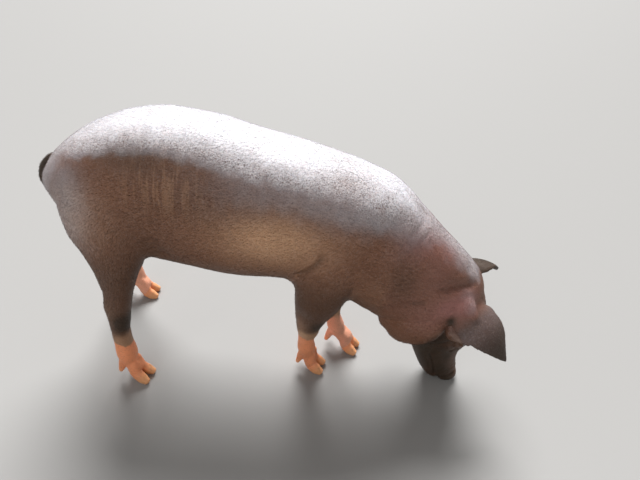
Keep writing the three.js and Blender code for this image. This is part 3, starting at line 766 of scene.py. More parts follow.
def hollows(points, faces, edges):
    """How far relaxing along the edges lifts each point along its normal, or 0, and the normals."""
    normals = normals_of(points, faces)
    soft = relaxed(points, edges, FILL_ROUNDS)
    return np.maximum(((soft - points) * normals).sum(1, keepdims=True), 0), normals


def merged(shells, cell):
    """The shells as one closed surface, made of cells of that size."""
    return through_modifier(*joined(shells), "REMESH", mode="VOXEL", voxel_size=cell)


def merged_body(shape):
    """The masses as one closed surface, merged with the blends that fill the creases between them."""
    tubes = masses(shape)
    shells = {name: tube.shell() for name, tube in tubes.items()}
    broad = [shell for name, shell in shells.items() if name.startswith(("trunk", "jowl", "limb", "skull"))]
    points, faces = merged(broad, BROAD["cell"])
    edges = edges_of(faces)
    points = relaxed(points, edges, 4)
    rise, normals = hollows(points, faces, edges)
    rise = relaxed(rise, edges, 6)
    hoist = np.minimum(rise, BROAD["most"]) - BROAD["inside"] * smoothstep(0.003, 0.0, rise)
    blend = (points + normals * hoist, faces)
    ears = [
        sheet_shell(*ear_layers(name, shape.ear_width, shape.ear_thickness), flip=sign > 0)
        for name, sign in SIDES.items()
    ]
    points, faces = merged([*shells.values(), *ears], CLOSE["cell"])
    ear_roots = np.linalg.norm(right_side(points) - EAR_MEETS["place"], axis=1) < EAR_MEETS["reach"]
    fine = np.flatnonzero((points[:, 2] < FOOT_TOP) & (points[:, 0] < 0.42) | ear_roots)
    edges = edges_of(faces)
    edges = edges[np.isin(edges, fine).all(1)]
    rise, normals = hollows(points, faces, edges)
    most = np.where(points[:, 2:] > FOOT_TOP, CLOSE["most_ear"], CLOSE["most_foot"])
    rise = relaxed(np.minimum(rise, most), edges, 6)
    flesh = (points + normals * (rise - CLOSE["inside"]), faces)
    return merged([*shells.values(), blend, flesh, *ears, *teats(tubes["trunk"])], shape.cell)


# ------------------------------------------------------------------ folds, muscles and lids

# Folds of the right side, mirrored on the left. Each is a line of places in the body's frame, its width and
# its depth, and how much shade is painted in its crease. A negative depth is a ridge.
FOLDS = [
    (
        [(0.196, -0.134, 0.436), (0.220, -0.144, 0.458), (0.246, -0.147, 0.486), (0.272, -0.146, 0.530)],
        0.008, 0.0040, 0.36,
    ),
    ([(0.208, -0.134, 0.412), (0.248, -0.150, 0.424), (0.292, -0.155, 0.440)], 0.008, 0.003, 0.4),
    (
        [(0.455, -0.068, 0.590), (0.427, -0.104, 0.556), (0.418, -0.120, 0.510), (0.410, -0.128, 0.440),
         (0.405, -0.120, 0.385)],
        0.022, -0.0022, 0.0,
    ),
    (
        [(0.492, -0.060, 0.560), (0.460, -0.104, 0.520), (0.448, -0.120, 0.471), (0.445, -0.124, 0.400)],
        0.024, 0.0030, 0.10,
    ),
    ([(0.486, -0.032, 0.573), (0.449, -0.092, 0.559), (0.427, -0.114, 0.528)], 0.0050, 0.0012, 0.05),
    ([(0.505, -0.036, 0.556), (0.470, -0.092, 0.535), (0.446, -0.114, 0.500)], 0.0050, 0.0010, 0.05),
    (
        [(0.530, -0.110, 0.424), (0.560, -0.100, 0.426), (0.590, -0.085, 0.425), (0.612, -0.072, 0.424),
         (0.650, -0.040, 0.410)],
        0.010, 0.0058, 0.34,
    ),
    ([(0.478, -0.119, 0.384), (0.503, -0.119, 0.386), (0.524, -0.117, 0.390)], 0.008, 0.0012, 0.5),
    ([(0.392, -0.040, 0.318), (0.405, -0.090, 0.335), (0.440, -0.116, 0.368)], 0.014, 0.005, 0.2),
    (
        [(0.515, -0.085, 0.200), (0.550, -0.092, 0.214), (0.578, -0.098, 0.244), (0.596, -0.100, 0.282),
         (0.602, -0.100, 0.322)],
        0.015, 0.013, 0.6,
    ),
    ([(-0.112, -0.130, 0.436), (-0.128, -0.150, 0.470), (-0.146, -0.158, 0.510)], 0.020, 0.006, 0.38),
    ([(-0.335, -0.128, 0.640), (-0.322, -0.146, 0.540), (-0.285, -0.150, 0.450)], 0.016, 0.003, 0.1),
]
# Swellings and hollows of the right side: centre, radii, height.
SWELLINGS = [
    ((0.310, -0.118, 0.600), (0.060, 0.060, 0.085), 0.005),
    ((0.175, -0.150, 0.590), (0.045, 0.050, 0.070), -0.004),
    ((0.590, -0.098, 0.396), (0.055, 0.040, 0.022), 0.005),
    ((0.500, -0.119, 0.318), (0.055, 0.040, 0.045), 0.004),
    ((0.560, -0.116, 0.300), (0.030, 0.030, 0.036), 0.004),
    ((-0.110, -0.160, 0.530), (0.045, 0.040, 0.050), -0.007),
    ((-0.235, -0.110, 0.690), (0.055, 0.050, 0.040), 0.003),
    ((-0.270, -0.160, 0.560), (0.070, 0.050, 0.080), 0.004),
    ((0.050, -0.150, 0.470), (0.130, 0.040, 0.050), 0.003),
]
# The same on the face, in the head's frame. The first fold is the mouth.
FACE_FOLDS = [
    (
        [(0.349, 0.000, 0.020), (0.344, -0.024, 0.018), (0.325, -0.036, 0.012), (0.290, -0.042, 0.004),
         (0.250, -0.047, -0.011), (0.216, -0.050, -0.026)],
        0.0026, 0.0032, 0.8,
    ),
    ([(0.324, -0.030, 0.066), (0.322, 0.000, 0.084)], 0.0032, 0.0016, 0.3),
    ([(0.311, -0.031, 0.060), (0.309, 0.000, 0.080)], 0.0032, 0.0016, 0.3),
    ([(0.297, -0.032, 0.056), (0.295, 0.000, 0.077)], 0.0034, 0.0014, 0.25),
    ([(0.281, -0.032, 0.052), (0.280, 0.000, 0.073)], 0.0036, 0.0010, 0.15),
    ([(0.110, -0.012, 0.098), (0.128, -0.016, 0.094), (0.146, -0.020, 0.088)], 0.0040, 0.0016, 0.2),
    ([(0.128, -0.078, 0.022), (0.150, -0.076, 0.020), (0.172, -0.068, 0.022)], 0.0040, 0.0018, 0.25),
    ([(0.168, -0.066, 0.048), (0.190, -0.060, 0.040), (0.214, -0.050, 0.030)], 0.0060, 0.0022, 0.2),
]
FACE_SWELLINGS = [
    ((0.122, -0.052, 0.078), (0.018, 0.016, 0.014), 0.0035),
    ((0.166, -0.074, 0.016), (0.026, 0.020, 0.018), 0.0040),
    ((0.215, -0.048, 0.030), (0.034, 0.014, 0.018), -0.0035),
    ((0.300, -0.040, -0.006), (0.030, 0.016, 0.012), 0.0022),
    ((0.060, 0.000, 0.092), (0.030, 0.030, 0.020), 0.0030),
]
# Knees, fetlocks and hocks: limb, height, how far forward of the limb's middle, radius and height of the
# swelling.
JOINTS = [
    ("fore_right", 0.185, 0.026, 0.020, 0.0030),
    ("fore_left", 0.180, 0.026, 0.020, 0.0030),
    ("fore_right", 0.098, 0.024, 0.014, 0.0016),
    ("fore_left", 0.098, 0.024, 0.014, 0.0016),
    ("hind_right", 0.275, -0.034, 0.018, 0.0040),
    ("hind_left", 0.275, -0.034, 0.018, 0.0040),
    ("hind_right", 0.225, 0.020, 0.020, 0.0025),
    ("hind_left", 0.225, 0.020, 0.020, 0.0025),
]
# Low upright waves of the skin on the flank.
RIBS = {"centre": (-0.115, -0.150, 0.640), "radii": (0.085, 0.060, 0.060), "gap": 0.0125, "height": 0.00045}


def right_side(points):
    """The points, with those of the left side mirrored onto the right."""
    return np.stack([points[:, 0], -np.abs(points[:, 1]), points[:, 2]], -1)


def from_line(points, line):
    """Distance from each point to a line of straight stretches, and how far along the line it is, 0 to 1."""
    line = np.asarray(line, float)
    best = np.full(len(points), np.inf)
    share = np.zeros(len(points))
    for k, (a, b) in enumerate(zip(line[:-1], line[1:])):
        t = np.clip(((points - a) @ (b - a)) / ((b - a) @ (b - a)), 0, 1)
        away = np.linalg.norm(points - a - t[:, None] * (b - a), axis=1)
        nearer = away < best
        best = np.where(nearer, away, best)
        share = np.where(nearer, (k + t) / (len(line) - 1), share)
    return best, share


def bell(value, centre, width):
    """1 at the centre and exp(-t^2) beside it, where t is the distance from it over the width."""
    return np.exp(-(((value - centre) / width) ** 2))


def fold(points, line, width, depth, fade):
    """A valley of that depth along the line, a bell curve across it, with a low lip on both sides. It fades
    out over that share of the line at either end. Returns its height and its share of the full depth."""
    away, share = from_line(points, line)
    ends = smoothstep(0, fade, share) * smoothstep(1, 1 - fade, share)
    valley = bell(away, 0, width)
    return ends * depth * (0.4 * bell(away, 2 * width, width) - valley), ends * valley


def swelling(points, centre, radii, height):
    """A bell curve in three directions."""
    return height * np.exp(-(((points - np.array(centre)) / np.array(radii)) ** 2).sum(1))


WAVES = 14  # sine waves in a sum of ripples
SEEDS = {"flank": 3, "broad": 4, "fine": 5, "horn": 8, "markings_and_light": 11, "feet": 12, "swing": 21}


def ripples(points, size, use):
    """Uneven ground about as deep as -1 to 1: twice the mean of sine waves that run in random directions."""
    rng = np.random.default_rng(SEEDS[use])
    ways = unit(rng.normal(size=(WAVES, 3))) * 2 * np.pi / size * rng.uniform(0.6, 1.6, (WAVES, 1))
    return np.sin(points @ ways.T + rng.uniform(0, 2 * np.pi, WAVES)).mean(1) * 2.0


# The lids, round the slit between them.
LID = {
    "way": (-0.30, 0.0, -1.0),  # the slit's long way, in the body's frame
    "half": 0.0115,  # half the length of the slit
    "upper": 0.0052,  # height of the slit above its middle
    "lower": 0.0038,  # height below it
    "thick": 0.0016,
    "crease": 0.0034,  # distance from the slit to the crease of each lid
    "crease_width": 0.0011,
    "crease_upper": 0.0012,  # depth of the upper lid's crease
    "crease_lower": 0.0007,
    "rim": 0.0010,  # distance from the slit to the rim of each lid
    "rim_width": 0.0009,
    "rim_height": 0.0005,
    "dark": 0.0022,  # width of the dark line round the slit
    "sunk": 0.0035,  # how far the skin within the slit lies behind the ball
    "meet": 0.0125,  # distance from the middle where a lid starts to run into the face
    "reach": 0.0230,  # distance where it has become the face
}


def lidded(points, sign):
    """The skin round one eye. Within the slit it drops behind the eyeball, round the slit it lies on the
    ball as a lid, and beyond that it runs back into the face. Returns the places and the lids' darkness."""
    centre, gaze = eye_at(sign)
    long_way = unit(np.array(LID["way"]) - gaze * (np.array(LID["way"]) @ gaze))
    up = np.cross(gaze, long_way)
    up = up * np.sign(up[0])
    q = points - centre
    along, across, out = q @ long_way, q @ up, q @ gaze
    radial = np.hypot(along, across)
    near = (radial < LID["reach"]) & (out > -0.004)
    half = LID["half"]
    edge = np.where(across > 0, LID["upper"], LID["lower"]) * np.clip(1 - (along / half) ** 2, 0, None)
    past_corner = np.hypot(np.abs(along) - half, across)
    beyond = np.where(np.abs(along) < half, np.abs(across) - edge, past_corner)
    ball = EYE_RADIUS + LID["thick"]
    cover = np.sqrt(np.maximum(ball**2 - radial**2, (0.35 * ball) ** 2))
    crease = bell(beyond, LID["crease"] * (1 + 0.3 * np.cos(along / half * np.pi / 2)), LID["crease_width"])
    crease = crease * np.where(across > 0, LID["crease_upper"], LID["crease_lower"])
    lid = cover + bell(beyond, LID["rim"], LID["rim_width"]) * LID["rim_height"] - crease
    mix = smoothstep(LID["meet"], LID["reach"], radial)
    height = lid * (1 - mix) + np.maximum(out, lid * 0.4) * mix
    sunk = np.sqrt(np.maximum(EYE_RADIUS**2 - radial**2, 0)) - LID["sunk"]
    height = np.where(beyond < 0, sunk, height)
    moved = points + gaze * ((height - out) * near)[:, None]
    # The dark line round the slit, and painted shade in the lids' creases.
    dark = near * (bell(np.maximum(beyond, 0), 0, LID["dark"]) + 0.4 * crease / LID["crease_upper"])
    return moved, np.clip(dark, 0, 1)


HORN = {
    "through": (0.012, 0.0, 0.038),  # a place on the coronet, in the foot's frame
    "normal": (-0.756, 0.0, 0.655),  # of the plane of the coronet, backwards and up
    "inset": 0.0009,  # how far the horn lies inside the solids
    "sunk": 0.0032,  # how deep its upper end lies in the skin
    "room": 0.0018,  # how far the skin gives way below the coronet
    "ring": 0.00022,  # height of a growth ring on a hoof
    "ring_dewclaw": 0.7,  # the same on a dewclaw, as a share of it
    "ring_gap": 0.0030,
    "dewclaw_top": 0.048,
}


def horn_rise(points, name):
    """How far points lie behind the plane where horn gives way to skin: below 0 on the hoof."""
    q = (points - foot_place(name)) @ foot_turn(name)
    return (q - np.array(HORN["through"])) @ unit(np.array(HORN["normal"]))


def with_nostrils(points):
    """The nose disc's face with a shallow dish and two oval pits."""
    q = to_disc(to_head(points))
    front = (q[:, 0] > -0.009) & (np.hypot(q[:, 1], q[:, 2]) < 0.05)
    dish = 0.0016 * np.exp(-((q[:, 1] / 0.020) ** 2) - (q[:, 2] / 0.016) ** 2)
    sink = dish * smoothstep(-0.004, 0.004, q[:, 0])
    dark = np.zeros(len(points))
    for sign in (1, -1):
        across = (q[:, 1] - sign * NOSTRIL["apart"]) / NOSTRIL["wide"]
        oval = np.hypot(across, (q[:, 2] - NOSTRIL["up"]) / NOSTRIL["tall"])
        pit = smoothstep(1.12, 0.72, oval) * NOSTRIL["deep"]
        rim = bell(oval, 1.32, 0.22) * NOSTRIL["rim"]
        sink = sink + (pit - rim) * smoothstep(-0.006, 0.002, q[:, 0])
        # Painted shade in the nostril pits.
        dark = np.maximum(dark, smoothstep(1.15, 0.9, oval) * front)
    way = HEAD_TURN @ disc_turn()[:, 0]
    return points - way * (sink * front)[:, None], dark


def sculpted(points, faces):
    """Muscles, folds, wrinkles, lids and nostrils on the merged body, and how dark each makes the skin:
    painted shade in the folds, the lids' creases and the nostrils, and the dark line round each eye's slit.
    """
    dark = np.zeros(len(points))
    normals = normals_of(points, faces)
    rise = np.zeros(len(points))
    right = right_side(points)
    head = to_head(right)
    for places, folds, swellings, fade in (
        (right, FOLDS, SWELLINGS, 0.2),
        (head, FACE_FOLDS, FACE_SWELLINGS, 0.12),
    ):
        for line, width, depth, shade in folds:
            height, where = fold(places, line, width, depth, fade)
            rise += height
            dark = np.maximum(dark, where * shade)
        for centre, radii, height in swellings:
            rise += swelling(places, centre, radii, height)
    for name, height, forward, radius, swell in JOINTS:
        path = np.array(LIMBS[name])[::-1]
        x, y = (np.interp(height, path[:, 2], path[:, k]) for k in (0, 1))
        rise += swelling(points, (x + forward, y, height), (radius,) * 3, swell)
    flank = swelling(right, RIBS["centre"], RIBS["radii"], 1.0)
    waves = np.sin(points[:, 0] * 2 * np.pi / RIBS["gap"] + 2.2 * ripples(points, 0.08, "flank"))
    rise += RIBS["height"] * flank * waves
    rise += 0.0011 * ripples(points, 0.10, "broad") * smoothstep(0.10, 0.30, points[:, 2])
    rise += 0.00035 * ripples(points, 0.022, "fine")
    for name in LIMBS:
        near = (np.linalg.norm(points[:, :2] - foot_place(name)[:2], axis=1) < 0.07) & (points[:, 2] < 0.07)
        rise -= near * HORN["room"] * smoothstep(0.0015, -0.0025, horn_rise(points, name))
    points = points + normals * rise[:, None]
    for sign in SIDES.values():
        points, lids = lidded(points, sign)
        dark = np.maximum(dark, lids)
    points, pits = with_nostrils(points)
    return points, np.maximum(dark, pits)


# ------------------------------------------------------------------ lie of the coat


# The coat's regions, each with the kinds of tubes that belong to it.
REGIONS = {
    "trunk": ("trunk",),
    "head": ("skull", "jowl", "nose", "root", "roll"),
    "legs": ("limb", "pastern", "toe", "dewclaw"),
    "tail": ("tail",),
    "ears": ("ear",),
}
EAR_GRID = (40, 28)  # rows and columns in which an ear is surveyed


def near_parts(points, grid, margin, size):
    """The numbers of the points within a margin of the box round a grid, in parts of about that size."""
    corners = grid.reshape(-1, 3)
    there = ((points > corners.min(0) - margin) & (points < corners.max(0) + margin)).all(1)
    there = np.flatnonzero(there)
    return np.array_split(there, max(1, len(there) // size))


def survey(points, tubes):
    """For each point, as arrays by name: number and kind of the tube it lies on, how far along and round that
    tube it is (0 to 1 each), and the way its hair lies. Relative distance from a tube is 1 on its surface,
    and the tubes near a point share in the way of its hair by exp(-9 x that distance)."""
    count = len(points)
    nearest, total = np.full(count, 9.0), np.zeros(count)
    which, along, turn = np.zeros(count, int), np.zeros(count), np.zeros(count)
    lie = np.zeros((count, 3))
    for number, (name, tube) in enumerate(tubes.items()):
        for part in near_parts(points, tube.rows, 0.03, 15000):
            away, far, bend, way = tube.survey(points[part])
            if name.startswith(("trunk", "jowl", "skull", "nose")):
                way = -way
            share = np.exp(-9 * away)
            lie[part] += share[:, None] * way
            total[part] += share
            closer = away < nearest[part]
            chosen = part[closer]
            nearest[chosen], along[chosen], turn[chosen] = away[closer], far[closer], bend[closer]
            which[chosen] = number
    kinds = np.array([name.split("_")[0] for name in tubes])
    lie = lie / np.maximum(total, 1e-9)[:, None]
    return {"tube": which, "kind": kinds[which], "along": along, "turn": turn, "lie": lie}


def on_ear(points, shape):
    """For each point, as arrays by name: how far it is from the nearer ear, how far along and across that ear
    it is (0 to 1 each), the way from root to tip there, whether it is on the hollow side, and which ear."""
    count = len(points)
    found = {name: np.zeros(count) for name in ("along", "turn", "inner")}
    found |= {"away": np.ones(count), "way": np.zeros((count, 3)), "ear": np.zeros(count, int)}
    for number, name in enumerate(SIDES):
        grids = ear_layers(name, shape.ear_width, shape.ear_thickness, *EAR_GRID)
        middle = (grids[0] + grids[1]) / 2
        slope = unit(np.gradient(middle, axis=0)).reshape(-1, 3)
        facing = unit(grids[1] - grids[0]).reshape(-1, 3)
        flat = middle.reshape(-1, 3)
        for part in near_parts(points, middle, 0.02, 3000):
            gap = np.linalg.norm(points[part][:, None] - flat[None], axis=2)
            best = gap.argmin(1)
            distance = gap[np.arange(len(part)), best]
            closer = distance < found["away"][part]
            chosen, best = part[closer], best[closer]
            row, column = np.divmod(best, EAR_GRID[1])
            found["away"][chosen] = distance[closer]
            found["along"][chosen] = row / (EAR_GRID[0] - 1)
            found["turn"][chosen] = column / (EAR_GRID[1] - 1)
            found["way"][chosen] = slope[best]
            found["inner"][chosen] = ((points[chosen] - flat[best]) * facing[best]).sum(1) > 0
            found["ear"][chosen] = number
    return found


# ------------------------------------------------------------------ markings, and painted light and shade


# Patches of the markings and of painted light and shade on the right side, mirrored on the left: strength,
# centre and radii.
PATCHES = {
    # Painted sunlit highlight on the withers, shoulder and neck and on the swelling at each ear's root, less
    # just behind the head.
    "silver_and_sunlit": [
        (0.20, (0.400, -0.100, 0.610), (0.07, 0.05, 0.04)),
        (0.30, (0.445, -0.030, 0.610), (0.05, 0.05, 0.05)),
        (0.34, (0.476, -0.058, 0.566), (0.04, 0.04, 0.04)),
        (0.10, (0.452, -0.095, 0.540), (0.05, 0.05, 0.05)),
        (0.13, (0.310, -0.115, 0.628), (0.10, 0.06, 0.045)),
        (-0.15, (0.560, -0.045, 0.495), (0.050, 0.030, 0.040)),
        (0.52, (0.628, -0.096, 0.390), (0.028, 0.030, 0.028)),
    ],
    "pale_thigh": [(0.34, (-0.320, -0.140, 0.560), (0.07, 0.08, 0.12))],
    # Less of the painted sunlit highlight on the top of the right shoulder.
    "pale_right": [(-0.40, (0.298, -0.066, 0.664), (0.060, 0.045, 0.040))],
    "tan": [(0.4, (-0.290, -0.150, 0.545), (0.07, 0.08, 0.09))],
    # Painted light reflected from the floor onto the flank behind the shoulder.
    "reflected_light": [(1.2, (0.150, -0.154, 0.54), (0.12, 0.08, 0.07))],
    "tan_leg": [
        (0.33, (-0.270, -0.178, 0.264), (0.018, 0.040, 0.035)),
        (0.42, (0.214, -0.112, 0.232), (0.024, 0.045, 0.055)),
    ],
    "flush": [
        (0.50, (0.495, -0.080, 0.535), (0.080, 0.06, 0.055)),
        (0.35, (0.560, -0.050, 0.490), (0.050, 0.04, 0.045)),
        (0.35, (0.560, -0.105, 0.440), (0.07, 0.04, 0.045)),
        (0.6, (0.625, -0.082, 0.385), (0.045, 0.045, 0.04)),
        (1.0, (0.588, -0.103, 0.368), (0.036, 0.04, 0.032)),
        (0.4, (0.540, -0.115, 0.340), (0.05, 0.04, 0.05)),
        (0.2, (0.480, -0.118, 0.380), (0.06, 0.04, 0.06)),
    ],
    # Painted shade along the saddle below the back's highlight, in the neck's hollow and above the neck's
    # fold, and a darker loin.
    "shade": [
        (0.50, (-0.160, -0.124, 0.694), (0.110, 0.040, 0.030)),
        (0.45, (0.458, -0.115, 0.440), (0.034, 0.05, 0.070)),
        (0.24, (-0.040, -0.150, 0.615), (0.130, 0.06, 0.060)),
        (0.33, (0.575, -0.088, 0.442), (0.050, 0.04, 0.018)),
    ],
    "shade_thigh": [(0.3, (-0.175, -0.150, 0.470), (0.10, 0.06, 0.10))],
    # Painted shade on the jaw under the ear's root.
    "shade_jaw": [(0.8, (0.594, -0.100, 0.330), (0.013, 0.03, 0.014))],
    # Painted shade at the front of the hock, and a darker and a lighter spot at the fore knee.
    "shade_leg": [
        (0.9, (-0.236, -0.172, 0.230), (0.024, 0.05, 0.030)),
        (0.5, (0.264, -0.112, 0.246), (0.020, 0.035, 0.032)),
        (-0.42, (0.214, -0.112, 0.232), (0.024, 0.045, 0.055)),
    ],
    "streaked": [(1.0, (-0.090, -0.145, 0.640), (0.085, 0.060, 0.058))],
}


def patches(points):
    """For each kind of patch, the sum of its bell curves at each point."""
    right = right_side(points)
    return {
        name: sum(swelling(right, centre, radii, strength) for strength, centre, radii in rows)
        for name, rows in PATCHES.items()
    }


def markings_and_light(points, normals, dark, kinds, ears):
    """The masks from which skin and coat are coloured alike, each 0 to 1 at a point: the pig's own markings,
    and painted light and shade. They are sums and products of smooth steps, in place and in the way the skin
    faces, and of the patches."""
    x, y, z = points.T
    forward, _, upward = normals.T
    away, reach = ears["away"], ears["along"]
    patch = patches(points)
    uneven = ripples(points, 0.045, "markings_and_light")
    limb = np.isin(kinds, REGIONS["legs"]) * 1.0
    fore = (x > 0.1) * 1.0
    left = smoothstep(0.00, 0.05, y)
    side = 1 - smoothstep(0.1, 0.7, upward)
    rolled = (kinds == "roll") * smoothstep(0.05, 0.15, reach)
    flap = smoothstep(0.014, 0.005, away)
    ear = np.maximum(flap * smoothstep(0.06, 0.50, reach), 0.35 * rolled)
    head = to_head(points)
    snout = smoothstep(0.012, 0.004, np.abs(to_disc(head)[:, 0] - 0.002)) * smoothstep(0.30, 0.33, head[:, 0])
    gap, share = from_line(points, [station[:3] for station in TAIL])
    tail = smoothstep(0.036, 0.022, gap) * smoothstep(0.09, 0.16, share)

    # Feet: bare up to an uneven line, lower where the skin faces forward and on the left fore foot.
    line = 0.150 + 0.003 * uneven + 0.008 * fore - 0.008 * forward
    line = line + 0.004 * ripples(points, 0.012, "feet") - 0.026 * fore * (y > 0)
    bare = smoothstep(line + 0.008 + 0.030 * fore, line - 0.006 - 0.010 * fore, z) * (x < 0.43) * (z < 0.26)

    # Back: a painted sunlit sheen where it faces up, reaching lower on the left, over its silvery hair; a
    # painted grey sheen on the upper flank by the withers, and grey at the rump.
    crest = 0.09 * smoothstep(0.085, 0.045, np.abs(y))
    start = 0.44 + 0.12 * smoothstep(0.05, -0.12, x) * smoothstep(0.03, 0.08, np.abs(y))
    start -= left * (0.2 + 0.2 * smoothstep(0.25, 0.45, x))
    silver_and_sunlit = smoothstep(start, 1.03 - 0.1 * left, upward + 0.05 * uneven) * smoothstep(0.42, 0.52, z + crest)
    rump = smoothstep(0.25, 0.85, -forward) * smoothstep(0.40, 0.52, z) * (x < -0.2)
    withers = smoothstep(0.52, 0.66, z + 0.02 * uneven) * smoothstep(-0.14, 0.12, x)
    for grey in (patch["pale_thigh"], 0.42 * rump, 0.20 * withers):
        silver_and_sunlit = np.maximum(silver_and_sunlit, grey)
    silver_and_sunlit += patch["silver_and_sunlit"] + patch["pale_right"] * (1 - left) + 0.25 * rolled
    silver_and_sunlit = np.clip(silver_and_sunlit, 0, 1) * (1 - 0.9 * ear) * (1 - tail)

    # Tan: tan hair of the thigh, cannons and knees; painted light reflected from the floor onto the shoulder,
    # weaker on the left, and a little onto the lower flank.
    low = smoothstep(0.50, 0.38, z + 0.02 * uneven) * (1 - limb) * (x < 0.42)
    cannon = limb * smoothstep(0.205, 0.172, z - 0.006 * uneven - 0.022 * fore)
    # Painted reflected light on the flank, weaker on the left, added to the thigh's tan.
    tan = patch["reflected_light"] * (1 - 0.55 * left) + patch["tan"]
    warm = 0.10 * low + 0.85 * tan * side + (0.65 + 0.2 * fore) * cannon
    warm += limb * patch["tan_leg"] + 0.3 * rolled

    # Dark: the shanks and the tail, a darker loin and front of the thigh, and painted shade: under the belly,
    # on the jaw below the jowl, along the saddle below the back's highlight, in the neck's hollow and above
    # its fold, at the front of the hock, towards the tips of the ears and over the whole left ear.
    shank = limb * smoothstep(0.50, 0.36, z) * (1 - 0.75 * cannon)
    # Painted shade under the belly, where the skin faces down.
    under = smoothstep(0.05, -0.6, upward) * (1 - limb) * (x < 0.42)
    # Painted shadow on the jaw and lower face below the jowl, lighter round the eye and on the left.
    jaw_line = 0.245 + 1.9 * (x - 0.53)
    jaw = smoothstep(jaw_line + 0.020, jaw_line - 0.050, z) * smoothstep(0.42, 0.47, x) * (1 - ear)
    jaw *= smoothstep(0.385, 0.235, z) * (0.97 - 0.35 * smoothstep(0.25, 0.80, forward)) * (1 - 0.25 * left)
    jaw *= 1 - swelling(right_side(points), in_head(RIGHT_EYE), (0.040, 0.030, 0.032), 0.4)
    jaw += patch["shade_jaw"] * (1 - rolled)
    shade = (0.52 + 0.1 * fore) * shank + 0.30 * under + jaw + tail
    shade += patch["shade"] + patch["shade_thigh"] * side + patch["shade_leg"] * limb
    # Painted shade over the whole left ear and towards the tips of both ears.
    shade += 0.8 * left * flap * smoothstep(0.0, 0.1, reach)
    shade += ear * (0.85 * smoothstep(0.40, 0.85, reach) + 0.5 * left)
    return {
        "bare": bare,
        "ear": ear * (1 - 0.3 * ears["inner"]),
        "snout": snout,
        "silver_and_sunlit": silver_and_sunlit,
        "warm": np.clip(warm, 0, 1),
        "flush": np.clip(patch["flush"] + 0.5 * ear * smoothstep(0.45, 0.1, reach), 0, 1),
        "shade": np.maximum(np.clip(shade, 0, 1), dark),
        "limb": limb,
        "streaked": patch["streaked"],
        "pink": limb * (y > 0),
    }


# Lengths of the skin's edges. An edge merges the later the longer it is, times 1 - its weight.
EDGES = {"trunk": 0.0075, "limb": 0.0050, "face": 0.0033, "least": 0.0015}
UNIT = 0.001  # the mesh is thinned in millimetres, because the modifier takes tiny errors for none
# How near to an eye, a nostril and the mouth the mesh is cut finer, round after round.
FINER = {"eye": (0.026, 0.020, 0.0145), "nostril": (0.020, 0.012), "mouth": (0.008, 0.004)}


def coarseness(points):
    """How long the skin's edges may be at a point: longest on the trunk, shorter on the limbs, shortest on
    the face, ears, feet and teats."""
    x, y, z = points.T
    face = smoothstep(0.55, 0.60, x) * smoothstep(0.02, 0.06, to_head(points)[:, 0] + 0.6 * np.abs(y))
    face = np.maximum(face, smoothstep(0.20, 0.12, z) * (x > 0.42))
    ears = (np.abs(y) > 0.085) & (x > 0.575)
    to_teats = np.linalg.norm(points[:, None, :2] - teat_places()[None], axis=2).min(1)
    near_teats = smoothstep(0.016, 0.010, to_teats) * (z < 0.46)
    fine = np.max([face, smoothstep(0.16, 0.10, z), ears, near_teats], axis=0)
    limbs = smoothstep(0.46, 0.36, z) * (x < 0.40)
    edge = EDGES["trunk"] + (EDGES["limb"] - EDGES["trunk"]) * limbs
    return edge + (EDGES["face"] - edge) * fine


def near_valleys(points, folds, widths):
    """Whether each point lies within so many widths of one of the folds that are valleys."""
    there = np.zeros(len(points), bool)
    for line, width, depth, _ in folds:
        if depth > 0:
            there |= from_line(points, line)[0] < width * widths
    return there


def smooth_skin(shape):
    """The merged body, smoothed, thinned to about the wanted number of triangles and cut finer where folds,
    lids, lips and nostrils will be."""
    points, faces = merged_body(shape)
    points = relaxed(points, edges_of(faces), 4)
    points[:, 2] = np.maximum(points[:, 2], LOWEST)
    share = shape.triangles / len(faces)
    weights = 1 - EDGES["least"] / coarseness(points)
    points, faces = through_modifier(points / UNIT, faces, "DECIMATE", weights, ratio=share)
    points = points * UNIT
    for level, eye_reach in enumerate(FINER["eye"]):
        right = right_side(points)
        head = to_head(right)
        inside = np.linalg.norm(head - RIGHT_EYE, axis=1) < eye_reach
        if level < len(FINER["nostril"]):
            disc = to_disc(head)
            to_nostril = np.hypot(np.abs(disc[:, 1]) - NOSTRIL["apart"], disc[:, 2])
            inside |= (to_nostril < FINER["nostril"][level]) & (disc[:, 0] > -0.012)
            inside |= from_line(head, FACE_FOLDS[0][0])[0] < FINER["mouth"][level]
        if level == 0:
            inside |= near_valleys(head, FACE_FOLDS[1:], 2.0) | near_valleys(right, FOLDS, 1.6)
        points, faces = refined(points, faces, inside)
    return points, faces


class SkinOperator(bpy.types.Operator):
    """Builds the one skin that covers the whole body"""

    bl_idname = "pig.skin"
    bl_label = "Skin"

    def execute(self, context):
        shape = context.scene.pig_shape
        points, faces = smooth_skin(shape)
        normals = unit(relaxed(normals_of(points, faces), edges_of(faces), 10))
        points, dark = sculpted(points, faces)
        points[:, 2] = np.maximum(points[:, 2], LOWEST)
        kinds = survey(points, masses(shape))["kind"]
        masks = markings_and_light(points, normals, dark, kinds, on_ear(points, shape))
        item = piece("skin", points, faces, masks, hide_material(context.scene.pig_colours))
        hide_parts(*FLESH_NODES)
        return {"FINISHED"}


# ------------------------------------------------------------------ horn


def horn_shell(tube, behind, ring):
    """A toe's own surface, raised where it is horn, with growth rings, and sunk into the foot above."""
    away = unit(tube.rows - tube.centre[:, None])
    uneven = ripples(tube.rows.reshape(-1, 3), 0.02, "horn").reshape(behind.shape)
    rings = ring * np.sin(behind * 2 * np.pi / HORN["ring_gap"] + 1.5 * uneven)
    height = rings * smoothstep(0.0, -0.004, behind) - HORN["sunk"] * smoothstep(-0.0008, 0.0018, behind)
    tube.rows = tube.rows + away * height[..., None]
    points, faces = tube.shell()
    points[:, 2] = np.maximum(points[:, 2], 0.0)
    return points, faces


